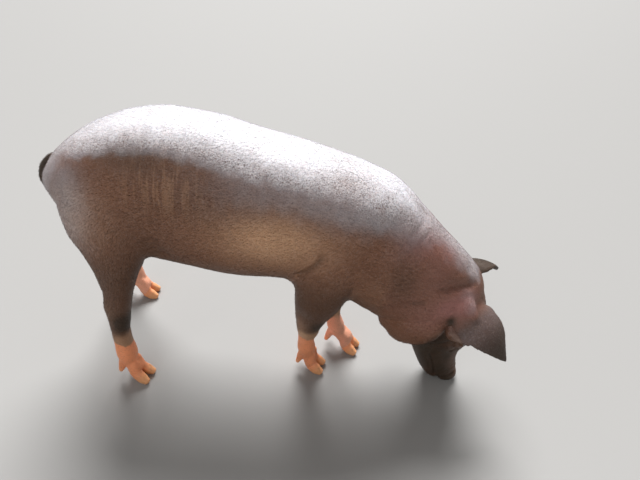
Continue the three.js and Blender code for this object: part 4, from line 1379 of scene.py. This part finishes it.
class HornOperator(bpy.types.Operator):
    """Builds the sixteen hooves and dewclaws"""

    bl_idname = "pig.horn"
    bl_label = "Horn"

    def execute(self, context):
        material = horn_material(context.scene.pig_colours)
        for limb in LIMBS:
            for sign in SIDES.values():
                place = f"{limb}_" + ("inner" if (sign > 0) == limb.endswith("right") else "outer")
                hoof = toe(limb, sign, HORN["inset"], sides=64, steps=14)
                self.horn(f"hoof_{place}", hoof, horn_rise(hoof.rows, limb), HORN["ring"], material)
                claw = dewclaw(limb, sign, HORN["inset"], sides=40, steps=12)
                behind = claw.rows[..., 2] - HORN["dewclaw_top"]
                ring = HORN["ring"] * HORN["ring_dewclaw"]
                self.horn(f"dewclaw_{place}", claw, behind, ring, material)
        return {"FINISHED"}

    def horn(self, name, tube, behind, ring, material):
        """One hoof or dewclaw. Its mask says how far each point lies beyond the place where horn starts."""
        grown = np.concatenate([-behind.ravel(), [0.0, (-behind).max()]])
        points, faces = horn_shell(tube, behind, ring)
        item = piece(f"horn_{name}", points, faces, {"grown": grown}, material)
        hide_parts(name)


# ------------------------------------------------------------------ eyes


def eyeball(sign, rings=40, sides=56):
    """A sphere of rings round the gaze, with a cornea that swells towards it from 40 degrees to 18 degrees.
    Returns its points, its triangles and each point's angle from the gaze."""
    centre, gaze = eye_at(sign)
    side = unit(np.cross(gaze, [0.0, 0.0, 1.0]))
    over = np.cross(side, gaze)
    polar = np.pi * (np.arange(rings) + 0.5) / rings
    turn = 2 * np.pi * np.arange(sides) / sides
    angle = np.repeat(polar[:, None], sides, 1)
    ball = EYE_RADIUS - EYE_GAP
    radius = ball + CORNEA * smoothstep(np.radians(40), np.radians(18), angle)
    rows = (
        gaze * (np.cos(angle) * radius)[..., None]
        + side * (np.sin(angle) * np.cos(turn) * radius)[..., None]
        + over * (np.sin(angle) * np.sin(turn) * radius)[..., None]
    )
    points = np.vstack([rows.reshape(-1, 3), gaze * (ball + CORNEA), -gaze * ball]) + centre
    return points, closed_rows(rings, sides), np.concatenate([angle.ravel(), [0.0, np.pi]])


class EyesOperator(bpy.types.Operator):
    """Builds the two eyes"""

    bl_idname = "pig.eyes"
    bl_label = "Eyes"

    def execute(self, context):
        material = eye_material(context.scene.pig_colours)
        for side, sign in SIDES.items():
            points, faces, angle = eyeball(sign)
            item = piece(f"eyeball_{side}", points, faces, {"angle": angle}, material)
            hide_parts(f"eye_{side}")
        return {"FINISHED"}


# ------------------------------------------------------------------ coat

MASKS = ("bare", "ear", "snout", "silver_and_sunlit", "warm", "flush", "shade", "limb", "streaked", "pink")
PIECE_TUFTS = 19500  # most tufts in one piece
# Each point of a tuft: how far along the tuft it is, and where it lies on the tuft's patch of the map.
TUFT_SHARE = [0, 0, 0, 0.5, 0.5, 0.5, 1]
TUFT_MAP = np.array([(0, 0), (0.5, 0), (1, 0), (0, 0.5), (0.5, 0.5), (1, 0.5), (0.5, 1)])
PATCH = 0.003  # width of a patch
ROOTED = 0.0004  # how deep the root of a tuft lies in the skin
CROWD = 1.1  # how much denser the tufts of the face and feet stand
DROOP = 0.28  # how far the hair of the flanks turns down
SWING = 0.16  # random turn of a tuft, in radians
SWAY = 0.18  # turn of the tufts of whole areas, in radians
TASSEL = 1.4  # how much longer the hair at the tip of the tail is


def tuft_shells(root, normal, way, size, width, lift):
    """Closed tufts of ten triangles. A triangle at the root and a smaller one halfway are carried along the
    tuft, which leaves the skin at the angle lift and bends back to it, and all of it ends in one point."""
    across = np.cross(normal, way)
    half = size[:, None] / 2
    lift = lift[:, None]
    middle = root + half * (way * np.cos(lift) + normal * np.sin(lift))
    tip = middle + half * (way * np.cos(lift / 2) - normal * np.sin(lift / 2))
    corners = 2 * np.pi * (np.arange(3) + 0.25) / 3
    points = []
    for centre, scale in ((root - normal * ROOTED, 0.5), (middle, 0.36)):
        for corner in corners:
            out = np.cos(corner) * across + 0.6 * np.sin(corner) * normal
            points.append(centre + scale * width[:, None] * out)
    points = np.stack([*points, tip], 1)
    faces = [(2, 1, 0)]
    for a, b in ((0, 1), (1, 2), (2, 0)):
        faces += [(a, b, b + 3), (a, b + 3, a + 3), (a + 3, b + 3, 6)]
    faces = np.array(faces)[None] + len(TUFT_SHARE) * np.arange(len(root))[:, None, None]
    return points.reshape(-1, 3), faces.reshape(-1, 3)


def scattered(points, faces, density, count, rng):
    """Random places on triangles, as often as area times density asks: the triangle of each, and the shares
    of its three corners."""
    a, b, c = (points[faces[:, k]] for k in range(3))
    total = np.cumsum(np.linalg.norm(np.cross(b - a, c - a), axis=1) * density)
    pick = np.searchsorted(total, (np.arange(count) + rng.random(count)) / count * total[-1])
    pick = np.minimum(pick, len(faces) - 1)
    u, v = rng.random(count), rng.random(count)
    over = u + v > 1
    u, v = np.where(over, 1 - u, u), np.where(over, 1 - v, v)
    return pick, np.stack([1 - u - v, u, v], -1)


def values_of(mesh, name):
    """A mask of a mesh as an array."""
    values = np.zeros(len(mesh.vertices), np.float32)
    mesh.attributes[name].data.foreach_get("value", values)
    return values.astype(float)


def tuft_map(chart, along, turn):
    """Where each tuft's patch lies on its piece's map: every tube and ear has its own strip, with the way
    along it to the right and the way round it upwards."""
    strips, strip = np.unique(chart, return_inverse=True)
    low, high = along.min(), along.max() + 1e-6
    u = 0.01 + 0.97 * (along - low) / (high - low)
    v = (strip + 0.02 + 0.94 * turn) / len(strips)
    return np.stack([u, v], -1)


class CoatOperator(bpy.types.Operator):
    """Lays the bristles of the coat on the skin, in pieces"""

    bl_idname = "pig.coat"
    bl_label = "Coat"

    def execute(self, context):
        coat = context.scene.pig_coat
        shape = context.scene.pig_shape
        tufts = self.tufts(bpy.data.objects["skin"].data, shape, coat)
        material = coat_material(context.scene.pig_colours)
        for region in REGIONS:
            mine = np.flatnonzero(tufts["region"] == region)
            mine = mine[np.argsort(tufts["root"][mine, 0], kind="stable")]
            parts = np.array_split(mine, -(-len(mine) // PIECE_TUFTS))
            for number, some in enumerate(parts, 1):
                name = f"coat_{region}_{number}"
                self.part(name, {key: values[some] for key, values in tufts.items()}, material)
        return {"FINISHED"}

    def tufts(self, skin, shape, coat):
        """The root, way and size of every tuft, with the skin's masks there, as arrays by name."""
        points, faces = arrays_of(skin)
        points = points + ORIGIN
        normals = normals_of(points, faces)
        masks = {name: values_of(skin, name) for name in MASKS}
        tubes = masses(shape)
        at = survey(points, tubes)
        ears = on_ear(points, shape)
        ear = (ears["away"] < 0.009) & (ears["along"] > 0.02)
        lie = np.where(ear[:, None], ears["way"], at["lie"])
        lie[:, 2] -= DROOP * (at["kind"] == "trunk") * (1 - np.abs(normals[:, 2]))
        lie = relaxed(lie, edges_of(faces), 6)
        to_eye = np.linalg.norm(to_head(right_side(points)) - RIGHT_EYE, axis=1)
        fine = np.isin(at["kind"], ["skull", "nose"]) * smoothstep(0.56, 0.62, points[:, 0]) + ear
        fine = np.clip(fine + smoothstep(0.19, 0.15, points[:, 2]), 0, 1)
        hairy = (1 - 0.93 * masks["bare"]) * (1 - masks["snout"]) * smoothstep(0.003, 0.006, points[:, 2])
        hairy *= smoothstep(0.015, 0.021, to_eye)
        rng = np.random.default_rng(coat.seed)
        count = coat.tufts
        density = hairy * (1 + CROWD * fine)
        pick, shares = scattered(points, faces, density[faces].mean(1), count, rng)

        def here(values):
            """The values between the three corners of the triangle that a tuft stands on."""
            corners = values[faces[pick]]
            return (corners * shares.reshape(shares.shape + (1,) * (corners.ndim - 2))).sum(1)

        corner = faces[pick, 0]
        root, normal = here(points), unit(here(normals))
        way = here(lie)
        way = unit(way - normal * (way * normal).sum(1, keepdims=True))
        swing = (rng.normal(0, SWING, count) + SWAY * ripples(root, 0.05, "swing"))[:, None]
        way = way * np.cos(swing) + np.cross(normal, way) * np.sin(swing)
        finer = here(fine)
        tassel = (at["kind"][corner] == "tail") * smoothstep(0.53, 0.45, root[:, 2])
        size = coat.body_length + (coat.face_length - coat.body_length) * finer
        region_of = {kind: region for region, kinds in REGIONS.items() for kind in kinds}
        region = np.array([region_of[name.split("_")[0]] for name in tubes])[at["tube"]]
        tufts = {name: here(values) for name, values in masks.items()}
        return tufts | {
            "root": root,
            "normal": normal,
            "way": way,
            "size": size * rng.uniform(0.7, 1.25, count) * (1 + TASSEL * tassel),
            "width": coat.width * (1 - 0.35 * finer) * rng.uniform(0.7, 1.2, count),
            "lift": coat.lift * rng.uniform(0.5, 1.2, count),
            "tone": rng.random(count),
            "region": np.where(ear, "ears", region)[corner],
            "chart": np.where(ear, len(tubes) + ears["ear"], at["tube"])[corner],
            "along": np.where(ear, ears["along"], at["along"])[corner],
            "turn": np.where(ear, ears["turn"], at["turn"])[corner],
        }

    def part(self, name, tufts, material):
        """One piece of the coat, with its masks and its map."""
        keys = ("root", "normal", "way", "size", "width", "lift")
        points, faces = tuft_shells(*(tufts[key] for key in keys))
        masks = {mask: np.repeat(tufts[mask], len(TUFT_SHARE)) for mask in (*MASKS, "tone")}
        masks["share"] = np.tile(TUFT_SHARE, len(tufts["root"]))
        item = piece(name, points, faces, masks, material)
        corner = tuft_map(tufts["chart"], tufts["along"], tufts["turn"])
        patch = (corner[:, None] + TUFT_MAP * PATCH).reshape(-1, 2)
        layer = item.data.uv_layers.new(name="OFBake")
        layer.uv.foreach_set("vector", patch[faces.ravel()].astype(np.float32).ravel())


# ------------------------------------------------------------------ finishes


class Value:
    """A socket of a shader. Arithmetic on it adds the Math nodes that work it out."""

    def __init__(self, shader, socket):
        self.shader = shader
        self.socket = socket

    def math(self, operation, first, second):
        """The result of one Math node."""
        return self.shader.node("ShaderNodeMath", {"operation": operation}, {0: first, 1: second})

    def __add__(self, other):
        return self.math("ADD", self, other)

    def __mul__(self, other):
        return self.math("MULTIPLY", self, other)

    def __sub__(self, other):
        return self.math("SUBTRACT", self, other)

    def __rsub__(self, other):
        return self.math("SUBTRACT", other, self)

    __radd__ = __add__
    __rmul__ = __mul__

    def between(self, low, high):
        """0 below low, 1 above high, and smooth between them."""
        settings = {"interpolation_type": "SMOOTHSTEP"}
        inputs = {"Value": self, "From Min": low, "From Max": high}
        return self.shader.node("ShaderNodeMapRange", settings, inputs)


class Shader:
    """A material whose nodes are made by calls."""

    def __init__(self, name):
        self.material = bpy.data.materials.new(name)
        self.material.use_nodes = True
        self.tree = self.material.node_tree
        self.tree.nodes.clear()

    def node(self, kind, settings=None, inputs=None, output=0):
        """A node of that kind: its settings first, then the values or links of its sockets."""
        made = self.tree.nodes.new(kind)
        for key, value in (settings or {}).items():
            setattr(made, key, value)
        for key, value in (inputs or {}).items():
            if isinstance(value, Value):
                self.tree.links.new(value.socket, made.inputs[key])
            else:
                made.inputs[key].default_value = value
        return Value(self, made.outputs[output]) if made.outputs else None

    def mask(self, name):
        """One of the mesh's own masks."""
        return self.node("ShaderNodeAttribute", {"attribute_name": name}, output="Fac")

    def place(self):
        """The object's own coordinates, in metres."""
        return self.node("ShaderNodeTexCoord", output="Object")

    def noise(self, scale, detail=2.0, stretch=(1, 1, 1), roughness=0.5):
        """Noise on the object's own coordinates, each of them times its stretch."""
        place = {"Vector": self.place(), "Scale": stretch}
        where = self.node("ShaderNodeMapping", {"vector_type": "POINT"}, place)
        inputs = {"Vector": where, "Scale": scale, "Detail": detail, "Roughness": roughness}
        return self.node("ShaderNodeTexNoise", {}, inputs, output="Fac")

    def mix(self, share, first, second):
        """A colour between two others."""
        first, second = (one if isinstance(one, Value) else (*one, 1) for one in (first, second))
        settings = {"data_type": "RGBA", "clamp_factor": True}
        return self.node("ShaderNodeMix", settings, {0: share, 6: first, 7: second}, output=2)

    def layered(self, tint, *layers):
        """A colour under others, each laid over the last by its own share."""
        for share, cover in layers:
            tint = self.mix(share, tint, cover)
        return tint

    def bump(self, height, distance, strength):
        """The normal of a surface raised by height times distance."""
        inputs = {"Height": height, "Distance": distance, "Strength": strength}
        return self.node("ShaderNodeBump", {}, inputs)

    def finish(self, **inputs):
        """The surface's own shader, with its sockets' values or links."""
        names = {key.replace("_", " ").title(): value for key, value in inputs.items()}
        names = {key.replace("Ior", "IOR"): value for key, value in names.items()}
        surface = self.node("ShaderNodeBsdfPrincipled", {}, names)
        self.node("ShaderNodeOutputMaterial", {}, {"Surface": surface})
        return self.material


def times(colour_value, factor):
    """A colour made lighter or darker."""
    return tuple(min(1.0, part * factor) for part in colour_value)


def marked_and_lit(shader, colours, masks, uneven):
    """The markings' colour with the painted sheen, reflected light and shade laid in, with edges made uneven
    by a number round 0, streaked where hair has parted on the loin, and flecked with light and dark hairs,
    most where the back turns into the side, where the light flecks are painted glints of lit hairs."""
    silver_and_sunlit = masks["silver_and_sunlit"] + uneven * 0.12
    fleck = shader.noise(260, 3, roughness=0.65)
    calm = (1 - masks["flush"] * 0.8) * (1 - masks["shade"] * 0.7)
    turning = (0.10 + silver_and_sunlit.between(0.25, 0.60) * (1 - silver_and_sunlit) * 1.5) * calm
    parting = shader.noise(1, 2, stretch=(150, 16, 9)).between(0.46, 0.64) * masks["streaked"]
    foot = shader.mix(masks["pink"], colours.foot, colours.foot_pink)
    return shader.layered(
        colours.hide,
        # Painted grey sheen, then the painted sunlit sheen of the back over its silvery hair.
        (silver_and_sunlit.between(0.0, 0.30) * 0.85, colours.sheen),
        (silver_and_sunlit * 1.15 - 0.15, colours.back),
        (masks["warm"] + uneven * 0.25, colours.belly),
        (masks["flush"] + uneven * 0.25, colours.flush),
        ((masks["ear"] + uneven * 0.2).between(0.1, 0.9), colours.ear),
        (masks["snout"], colours.snout),
        (masks["shade"] + uneven * 0.25, colours.shade),
        (parting * 0.30, times(colours.belly, 0.95)),
        # Painted glints of lit hairs, most at the edge of the back's painted highlight, and dark hairs beside
        # them.
        (fleck.between(0.50, 0.66) * turning, colours.bristle),
        ((1 - fleck).between(0.50, 0.66) * turning, times(colours.hide, 0.5)),
        ((masks["bare"] + uneven * 0.8).between(0.3, 0.7), foot),
    )


def hair_tip(shader, colours, masks):
    """The colour of the hair's tips: tan, and silvery on the back, as far as its painted sunlit sheen
    reaches.
    """
    return shader.mix(masks["silver_and_sunlit"].between(0.0, 0.5), colours.belly, colours.bristle)


def hide_material(colours):
    """Skin: the markings with their painted light and shade, mottled, with pores, fine creases and the grain
    of flat hair, which runs along the body and hangs down on the limbs."""
    shader = Shader("hide")
    masks = {name: shader.mask(name) for name in MASKS}
    cloud = shader.noise(9, 3)
    patches = shader.noise(38, 3)
    grain = shader.noise(330, 2)
    speck = shader.noise(900, 1)
    combed = shader.noise(1, 2, stretch=(110, 620, 420))
    hanging = shader.noise(1, 2, stretch=(620, 620, 110))
    hair = masks["limb"] * hanging + (1 - masks["limb"]) * combed
    plain = 1 - masks["silver_and_sunlit"] * 0.85
    # Silvery glints of the flat hair, painted brighter under the back's sunlit sheen, and none in the painted
    # shade.
    silver = hair.between(0.5, 0.75) * (0.10 + masks["silver_and_sunlit"] * 0.25)
    silver = silver * (1 - masks["bare"]) * (1 - masks["shade"])
    tint = shader.layered(
        marked_and_lit(shader, colours, masks, patches - 0.5),
        (cloud.between(0.35, 0.7) * 0.25 * plain, times(colours.hide, 0.6)),
        (silver, hair_tip(shader, colours, masks)),
        (grain.between(0.52, 0.75) * 0.35 * plain, times(colours.shade, 1.5)),
    )
    height = hair * 0.5 + grain * 0.6 + patches * 0.6 + speck * 0.25
    return shader.finish(
        base_color=tint,
        roughness=0.42 + grain * 0.22 + masks["bare"] * 0.06 - masks["snout"] * 0.22,
        normal=shader.bump(height, 0.0008, 0.7),
        specular_ior_level=0.3,
        coat_weight=0.05,
        coat_roughness=0.42,
        subsurface_weight=0.06,
        subsurface_radius=(0.012, 0.005, 0.003),
        subsurface_scale=0.5,
    )


def coat_material(colours):
    """Bristles: the skin's markings with their painted light and shade, more silvery towards the tip, some
    tufts more than others and most under the back's painted sunlit sheen.
    """
    shader = Shader("coat")
    masks = {name: shader.mask(name) for name in (*MASKS, "tone", "share")}
    tone = masks["tone"]
    # Painted sunlight on the bristles' silvery tips, strongest under the back's painted sheen, weaker in the
    # painted shade.
    lit = 0.22 + masks["silver_and_sunlit"] * 0.78
    silver = tone.between(0.35, 1.0) * (0.25 + masks["share"] * 0.5) * (1 - masks["shade"] * 0.75) * lit
    tint = shader.layered(
        marked_and_lit(shader, colours, masks, shader.noise(38, 3) - 0.5),
        (silver, hair_tip(shader, colours, masks)),
        ((1 - tone).between(0.7, 1.0) * (0.45 - masks["silver_and_sunlit"] * 0.35), times(colours.shade, 0.8)),
    )
    return shader.finish(
        base_color=tint,
        roughness=0.36 + tone * 0.2,
        specular_ior_level=0.3,
        coat_weight=0.05,
        coat_roughness=0.4,
    )


def horn_material(colours):
    """Horn: yellowish at the worn toe, brown at the coronet, with growth lines and stains."""
    shader = Shader("horn")
    grown = shader.mask("grown")
    streak = shader.noise(1, 3, stretch=(90, 420, 90))
    stain = shader.noise(60, 3)
    lines = shader.noise(1, 2, stretch=(60, 60, 900))
    tint = shader.layered(
        colours.horn,
        (grown.between(0.002, 0.026), colours.horn_tip),
        (streak.between(0.45, 0.75) * 0.35, times(colours.horn, 0.6)),
        (stain.between(0.58, 0.75) * 0.3, times(colours.shade, 2.5)),
    )
    return shader.finish(
        base_color=tint,
        roughness=0.38 + stain * 0.25,
        normal=shader.bump(lines * 0.6 + streak + stain * 0.5, 0.0005, 0.7),
        coat_weight=0.15,
    )


PUPIL = (0.004, 0.003, 0.003)
WHITE = (0.55, 0.42, 0.36)
BLOODSHOT = (0.42, 0.16, 0.12)


def eye_material(colours):
    """Eye: pupil, iris and a rim of bloodshot white, by the angle from the gaze, under a wet surface."""
    shader = Shader("eye")
    angle = shader.mask("angle")
    fibre = shader.noise(500, 3)
    iris = shader.mix(fibre, times(colours.iris, 0.6), times(colours.iris, 2.2))
    white = shader.mix(fibre.between(0.5, 0.7), WHITE, BLOODSHOT)
    tint = shader.layered(
        PUPIL,
        (angle.between(0.16, 0.22), iris),
        (angle.between(0.50, 0.58), times(colours.iris, 0.3)),
        (angle.between(0.62, 0.78), white),
    )
    return shader.finish(base_color=tint, roughness=0.06, coat_weight=1.0, specular_ior_level=0.6)


# ------------------------------------------------------------------ stage

# The camera's angles are in degrees: heading from +Y, dip below the horizon and roll. Its focal length is in
# widths of the picture.
CAMERA = {"place": (0.1669, -0.9725, 1.2), "heading": 3.65, "dip": 37.5, "roll": 5.25, "focal": 481 / 640}
SENSOR = 36
FLOOR = {"half": 9.0, "height": -0.0002, "colour": (0.30, 0.295, 0.288), "roughness": 0.8}
KEY = {"from": (-0.10, 0.78, 1.0), "strength": 6.4, "angle": 34}  # a broad soft sun above the far side
FILL = {"place": (-0.9, -2.6, 1.9), "aim": (0.0, 0.0, 0.4), "size": 2.4, "power": 24}
SKY = {"colour": (0.98, 0.96, 0.94), "strength": 0.36}


class StageOperator(bpy.types.Operator):
    """Sets the floor, the lights and the camera"""

    bl_idname = "pig.stage"
    bl_label = "Stage"

    def execute(self, context):
        self.floor()
        sun = bpy.data.lights.new("key", "SUN")
        sun.energy = KEY["strength"]
        sun.angle = np.radians(KEY["angle"])
        self.light(sun, np.array(KEY["from"]), -np.array(KEY["from"]))
        area = bpy.data.lights.new("fill", "AREA")
        area.energy = FILL["power"]
        area.size = FILL["size"]
        self.light(area, np.array(FILL["place"]), np.array(FILL["aim"]) - FILL["place"])
        self.camera(context.scene)
        world = bpy.data.worlds.new("studio")
        world.use_nodes = True
        sky = world.node_tree.nodes["Background"].inputs
        sky["Color"].default_value = (*SKY["colour"], 1)
        sky["Strength"].default_value = SKY["strength"]
        context.scene.world = world
        context.scene.view_settings.view_transform = "Standard"
        return {"FINISHED"}

    def floor(self):
        """A level square with an even finish."""
        half, height = FLOOR["half"], FLOOR["height"]
        points = np.array([(x, y, height) for y in (-half, half) for x in (-half, half)])
        mesh = mesh_of("floor", points, np.array([(0, 1, 3, 2)]))
        finish = {"base_color": (*FLOOR["colour"], 1), "roughness": FLOOR["roughness"]}
        mesh.materials.append(Shader("floor").finish(**finish))
        item = bpy.data.objects.new("floor", mesh)
        bpy.context.scene.collection.objects.link(item)

    def light(self, data, place, way):
        """A light that stands at a place and shines that way."""
        item = bpy.data.objects.new(data.name, data)
        item.location = place
        item.rotation_euler = Vector(way).to_track_quat("-Z", "Y").to_euler()
        bpy.context.scene.collection.objects.link(item)

    def camera(self, scene):
        """The camera, turned by its heading, its dip and its roll."""
        data = bpy.data.cameras.new("camera")
        data.sensor_width = SENSOR
        data.lens = SENSOR * CAMERA["focal"]
        item = bpy.data.objects.new("camera", data)
        matrix = Matrix.Translation(CAMERA["place"])
        for axis, angle in (("Z", CAMERA["heading"]), ("X", 90 - CAMERA["dip"]), ("Z", CAMERA["roll"])):
            matrix = matrix @ Matrix.Rotation(np.radians(angle), 4, axis)
        item.matrix_world = matrix
        scene.collection.objects.link(item)
        scene.camera = item


# ------------------------------------------------------------------ add-on

GROUPS = {"pig_shape": PigShape, "pig_colours": PigColours, "pig_coat": PigCoat}
OPERATORS = (SkinOperator, HornOperator, EyesOperator, CoatOperator, StageOperator)


class PigPanel(bpy.types.Panel):
    """Lists the sizes and colours, and the operators that build the pig"""

    bl_idname = "VIEW3D_PT_pig"
    bl_label = "Domestic Pig"
    bl_space_type = "VIEW_3D"
    bl_region_type = "UI"
    bl_category = "Pig"

    def draw(self, context):
        for key, group in GROUPS.items():
            box = self.layout.box()
            for name in group.__annotations__:
                box.prop(getattr(context.scene, key), name)
        for operator in OPERATORS:
            self.layout.operator(operator.bl_idname)


def register():
    """Adds the classes and the three groups of properties."""
    for item in (*GROUPS.values(), *OPERATORS, PigPanel):
        bpy.utils.register_class(item)
    for key, group in GROUPS.items():
        setattr(bpy.types.Scene, key, bpy.props.PointerProperty(type=group))


def unregister():
    """Takes them away again."""
    for key in GROUPS:
        delattr(bpy.types.Scene, key)
    for item in (PigPanel, *reversed(OPERATORS), *GROUPS.values()):
        bpy.utils.unregister_class(item)


def main():
    """Builds everything."""
    register()
    bpy.ops.pig.skin()
    bpy.ops.pig.horn()
    bpy.ops.pig.eyes()
    bpy.ops.pig.coat()
    bpy.ops.pig.stage()


if __name__ == "__main__":
    main()
